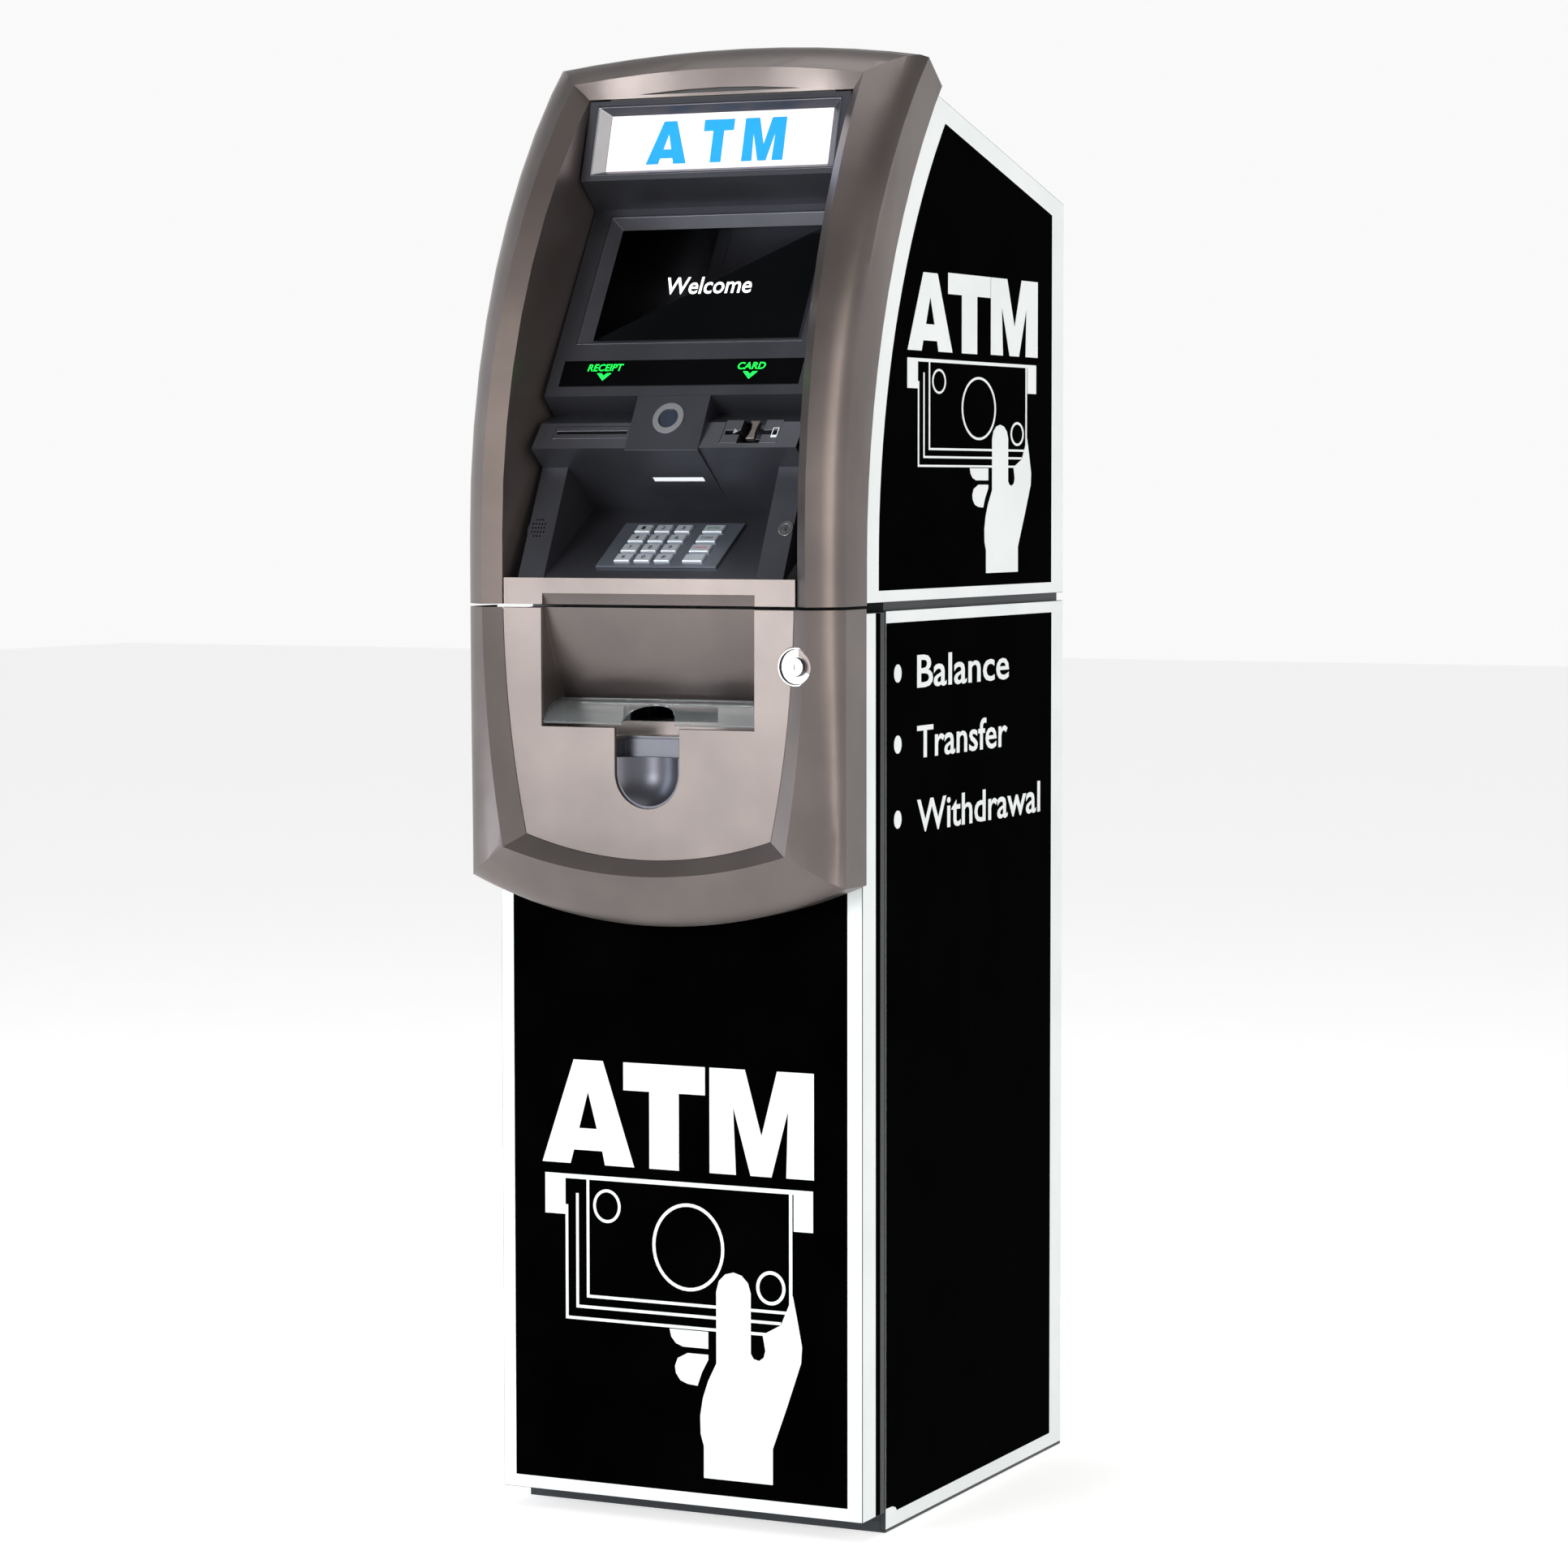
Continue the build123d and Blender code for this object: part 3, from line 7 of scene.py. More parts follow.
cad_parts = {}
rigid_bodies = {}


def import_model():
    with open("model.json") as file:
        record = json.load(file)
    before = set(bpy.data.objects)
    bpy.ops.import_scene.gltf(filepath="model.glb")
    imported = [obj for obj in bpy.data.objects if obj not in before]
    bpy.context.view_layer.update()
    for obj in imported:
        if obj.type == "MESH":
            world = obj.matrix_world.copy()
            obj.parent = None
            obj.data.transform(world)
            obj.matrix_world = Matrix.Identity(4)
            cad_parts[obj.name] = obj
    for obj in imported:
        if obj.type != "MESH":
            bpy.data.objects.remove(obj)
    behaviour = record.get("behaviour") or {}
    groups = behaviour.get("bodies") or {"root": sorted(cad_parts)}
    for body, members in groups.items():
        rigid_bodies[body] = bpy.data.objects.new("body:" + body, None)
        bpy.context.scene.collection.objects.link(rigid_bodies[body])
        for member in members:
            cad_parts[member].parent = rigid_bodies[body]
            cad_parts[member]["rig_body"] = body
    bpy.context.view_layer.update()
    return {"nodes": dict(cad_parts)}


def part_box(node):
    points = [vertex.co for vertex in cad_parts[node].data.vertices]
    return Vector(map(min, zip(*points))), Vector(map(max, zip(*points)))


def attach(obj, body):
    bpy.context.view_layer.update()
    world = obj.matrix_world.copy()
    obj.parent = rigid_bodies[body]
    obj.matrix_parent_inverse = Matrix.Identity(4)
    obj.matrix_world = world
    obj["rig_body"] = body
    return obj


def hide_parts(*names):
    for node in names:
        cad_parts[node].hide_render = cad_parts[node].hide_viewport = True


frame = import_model()

# The looks of a free-standing cash machine: painted fascia, wrapped cabinet, lit sign and keypad.
# Lengths in this file are millimetres until they go to Blender, which works in metres.
MM = 0.001

# ------------------------------------------------------------------ places on the machine
# The cabinet's front, back and sides, and the levels where its sheets begin and end.
door_front = -284.6
cabinet_front = -230.0
cabinet_back = 230.0
cabinet_side = 200.0
seam_bottom, seam_top = 912.0, 920.5
# Each sloping face of the panel as its upper and lower edge, as (y, z).
sign_line = ((-189.3, 1421.0), (-212.0, 1340.0))
screen_line = ((-180.0, 1313.0), (-290.9, 1122.9))
camera_line = ((-290.9, 1122.9), (-318.3, 1071.1))
mouth_line = ((-297.0, 1096.0), (-318.3, 1071.1))
shelf_line = ((-242.0, 1010.5), (-347.0, 944.4))
# The middles of the receipt mouth and the card mouth across the panel, and of the cover lock.
receipt_x, card_x = -84.0, 91.0
cover_lock_x, cover_lock_z = 161.3, 861.2
# Thicknesses of film: the wrap itself, the black laid on it, and the letters laid on that.
wrap_film, black_layer, letter_film, hand_film = 0.2, 0.1, 0.25, 0.34
legend_ink = 0.1


# ------------------------------------------------------------------ small helpers
def linear(code):
    """A six-figure sRGB colour as the linear colour that shaders take."""
    channels = [int(code[i:i + 2], 16) / 255 for i in (0, 2, 4)]
    return tuple(c / 12.92 if c <= 0.04045 else ((c + 0.055) / 1.055) ** 2.4 for c in channels) + (1.0,)


def add(tree, kind, settings, links=None):
    """One node with its settings and the links that come into it."""
    node = tree.nodes.new(kind)
    for name, value in settings.items():
        if name in node.inputs:
            node.inputs[name].default_value = value
        else:
            setattr(node, name, value)
    for name, source in (links or {}).items():
        tree.links.new(source, node.inputs[name])
    return node


def only(obj):
    """Select this one object, so that operators act on nothing else."""
    bpy.ops.object.select_all(action="DESELECT")
    obj.select_set(True)
    bpy.context.view_layer.objects.active = obj


def front_at(y):
    """Place on the front: drawings lie across X and up Z, facing the customer."""
    return Matrix(((1, 0, 0, 0), (0, 0, -1, y * MM), (0, 1, 0, 0), (0, 0, 0, 1)))


def right_at(x):
    """Place on the viewer's right side: drawings run from front to back and up."""
    return Matrix(((0, 0, 1, x * MM), (1, 0, 0, 0), (0, 1, 0, 0), (0, 0, 0, 1)))


def left_at(x):
    """Place on the viewer's left side: drawings run from back to front and up."""
    return Matrix(((0, 0, -1, x * MM), (-1, 0, 0, 0), (0, 1, 0, 0), (0, 0, 0, 1)))


def on_slope(line, distance, proud=0.0):
    """Place on a sloping face, a distance down from its upper edge and a little proud of it."""
    (y0, z0), (y1, z1) = line
    length = math.hypot(y1 - y0, z1 - z0)
    dy, dz = (y1 - y0) / length, (z1 - z0) / length
    y = y0 + dy * distance + dz * proud
    z = z0 + dz * distance - dy * proud
    return Matrix(((1, 0, 0, 0), (0, -dy, dz, y * MM), (0, -dz, -dy, z * MM), (0, 0, 0, 1)))


# ------------------------------------------------------------------ materials
# Size of the broad drift in every finish's tint.
cloud = 90


def grained(name, dark, light, grain, roughness, bump, **constants):
    """A finish whose gloss and surface vary with a fine grain, and whose tint drifts with a broad cloud."""
    material = bpy.data.materials.new(name)
    material.use_nodes = True
    tree = material.node_tree
    shader = tree.nodes["Principled BSDF"]
    place = add(tree, "ShaderNodeTexCoord", {})
    broad = add(tree, "ShaderNodeTexNoise", {"Scale": 1 / (cloud * MM), "Detail": 3.0},
                {"Vector": place.outputs["Object"]})
    fine = add(tree, "ShaderNodeTexNoise", {"Scale": 1 / (grain * MM), "Detail": 2.0},
               {"Vector": place.outputs["Object"]})
    tint = add(tree, "ShaderNodeValToRGB", {}, {"Fac": broad.outputs["Fac"]})
    tint.color_ramp.elements[0].position = 0.3
    tint.color_ramp.elements[0].color = linear(dark)
    tint.color_ramp.elements[1].position = 0.7
    tint.color_ramp.elements[1].color = linear(light)
    tree.links.new(tint.outputs["Color"], shader.inputs["Base Color"])
    gloss = add(tree, "ShaderNodeMapRange", {"To Min": roughness[0], "To Max": roughness[1]},
                {"Value": fine.outputs["Fac"]})
    tree.links.new(gloss.outputs["Result"], shader.inputs["Roughness"])
    relief = add(tree, "ShaderNodeBump", {"Strength": 1.0, "Distance": bump * MM},
                 {"Height": fine.outputs["Fac"]})
    tree.links.new(relief.outputs["Normal"], shader.inputs["Normal"])
    for socket, value in constants.items():
        shader.inputs[socket.replace("_", " ")].default_value = value
    return material


# Powder coat with metal flake: satin, a fine speckle, brown-grey.
bronze_coat = grained("bronze_powder_coat", "645D5B", "716966", 0.9, (0.3, 0.38), 0.03,
                      Metallic=0.75, Coat_Weight=0.08, Coat_Roughness=0.3)
# Injection-moulded ABS painted graphite: satin, slightly blue-grey.
graphite = grained("graphite_paint", "4B4C52", "56575E", 0.8, (0.3, 0.4), 0.025, Metallic=0.82)
# Calendered black vinyl film: matt and deep, with a faint orange peel. It hardly mirrors anything.
black_film = grained("black_vinyl_film", "010101", "030303", 2.5, (0.25, 0.32), 0.012,
                     Specular_IOR_Level=0.02, IOR=1.06)
# White vinyl film with a cool cast.
white_film = grained("white_vinyl_film", "E2E9EA", "EAF0F0", 2.5, (0.3, 0.38), 0.012,
                    Specular_IOR_Level=0.3)
# Baked slate enamel on the steel cabinet's edges and base.
slate_enamel = grained("slate_enamel", "1D2227", "272C31", 1.2, (0.38, 0.5), 0.03, Metallic=0.2)
# Hot-dip galvanised sheet: broad grey spangle.
galvanised = grained("galvanised_sheet", "8B8F92", "A9ADAF", 6.0, (0.35, 0.55), 0.02, Metallic=0.9)
# Bright zinc plate on turned and pressed steel.
zinc_plate = grained("zinc_plate", "9C9FA0", "B8BABA", 1.5, (0.25, 0.38), 0.01, Metallic=1.0)
# Satin chrome on the lock rings.
chrome = grained("chrome_plate", "8E9194", "A4A7AA", 3.0, (0.16, 0.24), 0.004, Metallic=1.0)
# Silver-painted key caps with a soft sheen.
key_silver = grained("silver_key_paint", "C2CAD2", "D2D9E0", 0.7, (0.3, 0.4), 0.012, Metallic=0.45)
# Keypad surround: satin stainless plate with a blue-grey tint.
keypad_steel = grained("keypad_steel", "747A84", "828892", 0.8, (0.3, 0.4), 0.012, Metallic=0.75)
# Satin nickel of the camera rim and the sign's reflector.
satin_nickel = grained("satin_nickel", "A9ABB0", "BCBEC2", 0.8, (0.28, 0.38), 0.01, Metallic=0.9)
# Printed inks on the function keys.
red_ink = grained("red_key_ink", "C2303C", "CC3A44", 0.8, (0.5, 0.6), 0.002)
green_ink = grained("green_key_ink", "2E7A4E", "368256", 0.8, (0.5, 0.6), 0.002)
# Smoked acrylic over the legends.
smoked_acrylic = grained("smoked_acrylic", "030304", "060608", 40, (0.2, 0.26), 0.002,
                         Specular_IOR_Level=0.06)
# Coated glass of the camera, with a dull blue cast.
camera_glass = grained("camera_glass", "262C38", "2E3542", 20, (0.12, 0.18), 0.001,
                       Specular_IOR_Level=0.4)
# Moulded black ABS, lightly spark-eroded.
black_abs = grained("black_abs", "08080A", "111113", 0.8, (0.4, 0.55), 0.03)
# Toughened display glass: near-black and glossy.
black_glass = grained("display_glass", "030507", "06080B", 60, (0.05, 0.09), 0.0,
                      Specular_IOR_Level=0.12)
# Thermal paper.
paper = grained("thermal_paper", "ECEBE6", "F5F4F0", 1.0, (0.75, 0.85), 0.01)


def lit(name, colour, glow, strength):
    """A finish that shines by itself, such as ink on a lit panel."""
    return grained(name, colour, colour, 3.0, (0.3, 0.4), 0.004,
                   Emission_Color=linear(glow), Emission_Strength=strength)


# Backlit opal acrylic of the sign.
opal_acrylic = lit("opal_acrylic", "E6E0E4", "FFF6FB", 0.35)
# Translucent sky-blue film on the sign.
sky_film = lit("sky_blue_film", "1592D8", "0E9CEB", 0.35)
# Green and white light-emitting legends.
green_light = lit("green_legend_light", "12E83A", "0CF04A", 1.6)
white_light = lit("white_legend_light", "F4F6F6", "FFFFFF", 0.9)
# Frosted lamp lens over the keypad.
lamp_lens = lit("frosted_lamp_lens", "D9DCDC", "F4F8FF", 0.35)

# Clear cast acrylic of the note flap.
clear_acrylic = grained("clear_acrylic", "DFE6E8", "E8EEF0", 40, (0.04, 0.08), 0.002,
                        Transmission_Weight=0.92, IOR=1.49)

finishes = {
    "base_plate": slate_enamel, "vault_walls": slate_enamel, "vault_frame": slate_enamel,
    "housing_shell": slate_enamel, "power_inlet": black_abs, "power_rocker": black_abs,
    "control_box": galvanised, "dispenser_frame": zinc_plate, "feed_shaft": zinc_plate,
    "cash_cassette": black_abs, "cabinet_hardware": zinc_plate, "door_hardware": zinc_plate,
    "fascia_hinge_leaf": zinc_plate, "cover_hinge_leaf": zinc_plate, "door_skin": slate_enamel,
    "door_slab": slate_enamel, "door_lock_works": zinc_plate, "bolt_bar": zinc_plate,
    "door_handle": zinc_plate, "combination_dial": black_abs, "upper_bezel": bronze_coat,
    "centre_panel": graphite, "sign_bezel": graphite, "sign_lens": opal_acrylic,
    "screen_bezel": graphite, "screen_glass": black_glass, "display_module": galvanised,
    "indicator_strip": smoked_acrylic, "mouth_block": graphite, "centre_column": graphite,
    "camera_lens": black_abs, "bay_cheeks": graphite, "fascia_lock": chrome,
    "fascia_key_plug": chrome, "receipt_printer": black_abs, "paper_roll": paper,
    "card_reader": black_abs, "keypad_plate": keypad_steel, "cover_bezel": bronze_coat,
    "cover_face": bronze_coat, "cash_tray": bronze_coat, "cash_flap": clear_acrylic,
    "cover_lock": chrome, "cover_key_plug": chrome,
}
key_nodes = ["key_%02d" % number for number in range(1, 17)]
for node in key_nodes:
    finishes[node] = key_silver


# ------------------------------------------------------------------ carried-over parts, with worked edges
def wear(obj, material):
    """Give a piece one finish, and the slot that its finish belongs to."""
    obj.data.materials.clear()
    obj.data.materials.append(material)


# Corners closer than the gap are one; faces flatter than the first angle are one face; edges sharper than
# the second are rounded.
merge_gap = 0.002
flat_angle, sharp_angle = math.radians(0.6), math.radians(24)


def worked(node, width):
    """A merged copy of a CAD node with its sharp edges rounded, which stands for the node."""
    source = frame["nodes"][node]
    piece = bpy.data.objects.new("worked_" + node, source.data.copy())
    bpy.context.scene.collection.objects.link(piece)
    only(piece)
    bpy.ops.mesh.customdata_custom_splitnormals_clear()
    bpy.ops.object.mode_set(mode="EDIT")
    bpy.ops.mesh.select_all(action="SELECT")
    bpy.ops.mesh.remove_doubles(threshold=merge_gap * MM)
    bpy.ops.mesh.dissolve_limited(angle_limit=flat_angle)
    bpy.ops.object.mode_set(mode="OBJECT")
    bpy.ops.object.shade_smooth_by_angle(angle=sharp_angle)
    rounding = piece.modifiers.new("rounded_edges", "BEVEL")
    rounding.width = width * MM
    rounding.segments = 2
    rounding.limit_method = "ANGLE"
    rounding.angle_limit = sharp_angle
    rounding.harden_normals = True
    bpy.ops.object.modifier_apply(modifier="rounded_edges")
    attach(piece, source["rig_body"])
    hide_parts(node)
    wear(piece, finishes[node])
    return piece


# Radius of the worked edges of each carried-over part, in millimetres.
edge_radii = {
    "upper_bezel": 1.1, "cover_bezel": 1.1, "cover_face": 0.8, "centre_panel": 1.8, "sign_bezel": 0.8,
    "screen_bezel": 0.8, "mouth_block": 0.9, "centre_column": 1.4, "bay_cheeks": 1.6, "cash_tray": 0.5,
    "door_skin": 0.6, "door_slab": 0.8, "vault_walls": 0.6, "housing_shell": 0.4, "base_plate": 0.5,
    "keypad_plate": 0.5, "fascia_lock": 0.35, "cover_lock": 0.5, "door_handle": 1.0,
    "combination_dial": 0.6, "power_inlet": 0.5, "camera_lens": 0.4, "cash_cassette": 0.8,
    "indicator_strip": 0.4, "sign_lens": 0.4, "control_box": 0.6, "power_rocker": 0.3,
    "receipt_printer": 0.6, "card_reader": 0.6,
}
for node in key_nodes:
    edge_radii[node] = 0.35
worked_pieces = {}
for node, material in finishes.items():
    if node in edge_radii:
        worked_pieces[node] = worked(node, edge_radii[node])
    else:
        wear(frame["nodes"][node], material)


def second_finish(node, material, chosen):
    """Give the faces of a worked piece that a rule picks a second finish."""
    piece = worked_pieces[node]
    piece.data.materials.append(material)
    for face in piece.data.polygons:
        if chosen(face.center / MM):
            face.material_index = len(piece.data.materials) - 1


# The lens node holds the lamp window too, which lies below the camera.
lamp_top = 1055
second_finish("camera_lens", lamp_lens, lambda p: p.z < lamp_top)
# Outside its ring, the lock is a dish in the painted face.
lock_ring = 9.6
second_finish("cover_lock", bronze_coat,
              lambda p: math.hypot(p.x - cover_lock_x, p.z - cover_lock_z) > lock_ring)
# The thumb scoop is the low middle of the tray.
scoop_side, scoop_top = 39.5, 789
second_finish("cash_tray", graphite, lambda p: abs(p.x) < scoop_side and p.z < scoop_top)
# The lip of the shelf is painted with the bezel.
lip_face, lip_top = -341.9, 944.5
second_finish("centre_panel", bronze_coat, lambda p: p.y < lip_face and p.z < lip_top)
# Painted highlight: the left reveal of the sign is bright, so only its faces get satin nickel; the right
# reveal stays graphite.
second_finish("sign_bezel", satin_nickel, lambda p: -150 < p.x < -125 and 1343 < p.z < 1418)


# ------------------------------------------------------------------ flat artwork, cut from film
def cut_film(name, outlines, place, thickness, material, body):
    """Film cut to closed outlines of (across, up) points; an outline inside another is a hole."""
    drawing = bpy.data.curves.new(name, "CURVE")
    drawing.dimensions = "2D"
    drawing.fill_mode = "BOTH"
    drawing.extrude = thickness / 2 * MM
    for outline in outlines:
        spline = drawing.splines.new("POLY")
        spline.points.add(len(outline) - 1)
        for point, (across, up) in zip(spline.points, outline):
            point.co = (across * MM, up * MM, 0, 1)
        spline.use_cyclic_u = True
    piece = bpy.data.objects.new(name, drawing)
    bpy.context.scene.collection.objects.link(piece)
    return laid(piece, place, thickness, material, body)


def laid(piece, place, thickness, material, body):
    """Turn flat work into a mesh, then lay it on its place."""
    only(piece)
    bpy.ops.object.convert(target="MESH")
    piece = bpy.context.view_layer.objects.active
    bpy.ops.object.mode_set(mode="EDIT")
    bpy.ops.mesh.select_all(action="SELECT")
    bpy.ops.mesh.remove_doubles(threshold=0.001 * MM)
    bpy.ops.object.mode_set(mode="OBJECT")
    piece.data.transform(place @ Matrix.Translation((0, 0, thickness / 2 * MM)))
    piece.data.update()
    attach(piece, body)
    wear(piece, material)
    return piece


def lettering(name, words, width, height, middle, place, thickness, material, body, slant=0.0):
    """Words fitted to a width and a height about their middle point."""
    bpy.ops.object.text_add()
    piece = bpy.context.view_layer.objects.active
    piece.name = name
    piece.data.body = words
    piece.data.extrude = thickness / 2
    piece.data.resolution_u = 3
    piece.data.offset = 0.012
    only(piece)
    bpy.ops.object.convert(target="MESH")
    piece = bpy.context.view_layer.objects.active
    points = [v.co for v in piece.data.vertices]
    low = Vector([min(p[i] for p in points) for i in range(3)])
    high = Vector([max(p[i] for p in points) for i in range(3)])
    fit = Matrix.Diagonal((width / (high.x - low.x) * MM, height / (high.y - low.y) * MM, MM, 1))
    lean = Matrix(((1, slant, 0, 0), (0, 1, 0, 0), (0, 0, 1, 0), (0, 0, 0, 1)))
    centre = Matrix.Translation(-(low + high) / 2)
    shift = Matrix.Translation((middle[0] * MM, middle[1] * MM, 0))
    piece.data.transform(shift @ lean @ fit @ centre)
    return laid(piece, place, thickness, material, body)


def disc(x, z, rx, rz, count=40):
    """Outline of a filled circle or ellipse."""
    turns = [2 * math.pi * i / count for i in range(count)]
    return [(x + rx * math.cos(turn), z + rz * math.sin(turn)) for turn in turns]


def ring(x, z, rx, rz, line, count=40):
    """Two outlines of a drawn circle or ellipse, with the width of its line."""
    return [disc(x, z, rx, rz, count), disc(x, z, rx - line, rz - line, count)]


# Block capitals in a unit box; an outline inside another is the hole of the A.
LETTERS = {
    "A": [[(.346, 1), (.663, 1), (1, 0), (.683, 0), (.654, .133), (.346, .133), (.308, 0), (0, 0)],
          [(.5, .695), (.596, .343), (.404, .343)]],
    "T": [[(0, 1), (1, 1), (1, .733), (.681, .733), (.681, 0), (.319, 0), (.319, .733), (0, .733)]],
    "M": [[(0, 1), (.342, 1), (.5, .381), (.649, 1), (1, 1), (1, 0), (.737, 0), (.754, .63), (.596, 0),
           (.395, 0), (.228, .64), (.254, 0), (0, 0)]],
}


def capitals(boxes):
    """Outlines of A, T and M, each drawn into its own box of (left, right, bottom, top)."""
    outlines = []
    for letter, (left, right, bottom, top) in zip("ATM", boxes):
        for outline in LETTERS[letter]:
            outlines.append([(left + (right - left) * u, bottom + (top - bottom) * v) for u, v in outline])
    return outlines


def rounded(x0, x1, z0, z1, radius, count=6):
    """Outline of a rectangle with round corners."""
    points = []
    for cx, cz, start in ((x1 - radius, z1 - radius, 0), (x0 + radius, z1 - radius, 90),
                          (x0 + radius, z0 + radius, 180), (x1 - radius, z0 + radius, 270)):
        for step in range(count + 1):
            angle = math.radians(start + 90 * step / count)
            points.append((cx + radius * math.cos(angle), cz + radius * math.sin(angle)))
    return points


# The cash pictogram: a slot, a stack of notes and a hand, drawn at the size it has on the door.
slot_bar = [(-151, 345), (147, 345), (147, 304), (126, 304), (126, 340.5), (-128, 340.5), (-128, 304),
            (-151, 304)]
note_face = [(-104, 340.5), (124.5, 340.5), (124.5, 221), (-104, 221)]
note_print = [(-101, 340.5), (121, 340.5), (121, 224), (-101, 224)]
back_note = [(-116, 326), (-113, 326), (-113, 213), (112, 213), (112, 210), (-116, 210)]
rear_note = [(-128, 314), (-125, 314), (-125, 201), (101, 201), (101, 198), (-128, 198)]
hand = [(41, 238), (44, 249), (51, 256), (60, 258.5), (69, 256), (76, 249), (79, 239), (79, 179),
        (82, 174), (88, 172.5), (93, 176), (95, 183), (92, 199), (112, 210), (125, 240), (130, 216),
        (135, 190), (134, 174), (119, 130), (103, 86), (103, 50), (27, 50), (27, 82), (23.5, 94),
        (23, 112), (26, 130), (32, 148), (41, 166)]
finger_upper = [(-11, 197), (-9, 189), (-4, 183), (4, 180), (32, 180), (32, 197)]
finger_lower = [(9, 174), (32, 174), (32, 169), (25, 156), (20, 142), (9, 143), (1, 146), (-4, 153),
                (-5, 160), (-2, 168)]


def mapped(outlines, across, up, x0, z0):
    """Outlines stretched about the slot bar and moved."""
    return [[(x * across + x0, (z - 345) * up + z0) for x, z in outline] for outline in outlines]


def cash_picture(name, fit, place, body):
    """The pictogram in film: slot, notes behind, front note with its print, then the hand on top."""
    marks = ring(-81, 315, 15.5, 17, 3) + ring(10, 280, 40, 44, 3.4) + ring(101, 246, 16, 17, 3.4)
    for part, outlines, thickness in (
            ("slot", [slot_bar], letter_film), ("notes", [back_note, rear_note], letter_film),
            ("note_edge", [note_face, note_print], 0.27), ("note_marks", marks, letter_film),
            ("hand", [hand], hand_film), ("fingers", [finger_upper, finger_lower], letter_film)):
        cut_film(name + "_" + part, mapped(outlines, *fit), place, thickness, white_film, body)


# ------------------------------------------------------------------ wrapped door
door_bottom, door_top = 21.6, 910.4
door_film_side = 199.4
cut_film("door_film_white", [[(-door_film_side, door_bottom), (door_film_side, door_bottom),
                              (door_film_side, door_top), (-door_film_side, door_top)],
                             [(-53, 802), (53, 802), (53, 819), (-53, 819)]],
         front_at(door_front), wrap_film, white_film, "vault_door")
cut_film("door_film_black", [[(-186, 34), (184, 34), (184, 640), (-186, 640)]],
         front_at(door_front - wrap_film), black_layer, black_film, "vault_door")
door_art = front_at(door_front - wrap_film - black_layer)
cut_film("door_letters", capitals([(-154, -50, 356, 461), (-62, 29, 356, 461), (34, 148, 356, 461)]),
         door_art, letter_film, white_film, "vault_door")
cash_picture("door_picture", (1, 1, 0, 345), door_art, "vault_door")
# The door's edge shows a white band and a black band behind it.
edge_bands = (("white", -284, -254, white_film), ("black", -253.5, -243, black_film))
for side, turn, place in (("right", 1, right_at(cabinet_side)), ("left", -1, left_at(-cabinet_side))):
    for colour, front, back, material in edge_bands:
        band = [(turn * y, z) for y, z in ((front, door_bottom), (back, door_bottom),
                                           (back, door_top), (front, door_top))]
        cut_film("door_edge_%s_%s" % (colour, side), [band], place, wrap_film, material, "vault_door")

# ------------------------------------------------------------------ wrapped sides
# The arc of the fascia's rear edge in side view: its centre (y, z) and its radius.
arc_y, arc_z, arc_radius = 420.0, 960.0, 705.0
# The roof falls to the back: its height at the back edge, and its rise per millimetre forward.
roof_back, roof_slope = 1332.0, 0.268


def behind_fascia(z, inset):
    """Distance back of the line that follows the fascia's rear edge, inset from it."""
    rise = max(z - arc_z, 0)
    return arc_y - math.sqrt((arc_radius - inset) ** 2 - rise * rise)


def roof_at(y, drop):
    """Height of the roof line at a distance back, less a drop."""
    return roof_back + (cabinet_back - y) * roof_slope - drop


def upper_panel(inset, bottom, back, drop):
    """Outline of the upper side: flat bottom, curved front, sloping roof."""
    points = [(behind_fascia(0, inset), bottom)]
    for step in range(25):
        z = arc_z + (1500 - arc_z) * step / 24
        y = behind_fascia(z, inset)
        if z > roof_at(y, drop) - 1:
            break
        points.append((y, z))
    for _ in range(30):
        y = behind_fascia(roof_at(y, drop), inset)
    return points + [(y, roof_at(y, drop)), (back, roof_at(back, drop)), (back, bottom)]


services = (("Balance", 850, 236), ("Transfer", 780, 232), ("Withdrawal", 706, 322))
word_height, dot_radius = 33, 9
# Where the words and their dots begin on each side.
columns = {"right": (-155, -202), "left": (-128, -175)}
black_lower = [(-229.4, 900), (198, 900), (198, 17.5), (-203, 17.5), (-206, 21), (-214, 23.5), (-229.4, 24)]
upper_capitals = [(-179, -68, 1167.5, 1245), (-79, 30, 1167.5, 1247), (31, 157, 1168, 1247)]
for side, turn, place in (("right", 1, right_at(cabinet_side)), ("left", -1, left_at(-cabinet_side))):
    wrap = place @ Matrix.Translation((0, 0, wrap_film * MM))
    art = place @ Matrix.Translation((0, 0, (wrap_film + black_layer) * MM))
    white_upper = [(turn * y, z) for y, z in upper_panel(3.5, seam_top + 0.4, cabinet_back - 0.4, 0.6)]
    cut_film("upper_film_white_" + side, [white_upper], place, wrap_film, white_film, "cabinet")
    black_upper = [(turn * y, z) for y, z in upper_panel(38, 932, 197, 22)]
    cut_film("upper_film_black_" + side, [black_upper], wrap, black_layer, black_film, "cabinet")
    white_lower = rounded(cabinet_front + 0.4, cabinet_back - 0.4, 3.4, seam_bottom - 0.4, 0.5)
    cut_film("lower_film_white_" + side, [white_lower], place, wrap_film, white_film, "cabinet")
    cut_film("lower_film_black_" + side, [[(turn * y, z) for y, z in black_lower]],
             wrap, black_layer, black_film, "cabinet")
    cut_film("upper_letters_" + side, capitals(upper_capitals), art, letter_film, white_film, "cabinet")
    cash_picture("upper_picture_" + side, (1.116, 0.73, -11, 1160), art, "cabinet")
    start, dot = columns[side]
    for row, (word, z, width) in enumerate(services):
        lettering("service_word_%s_%d" % (side, row), word, width, word_height, (start + width / 2, z),
                  art, letter_film, white_film, "cabinet")
        cut_film("service_dot_%s_%d" % (side, row), [disc(dot, z, dot_radius, dot_radius, 24)],
                 art, letter_film, white_film, "cabinet")

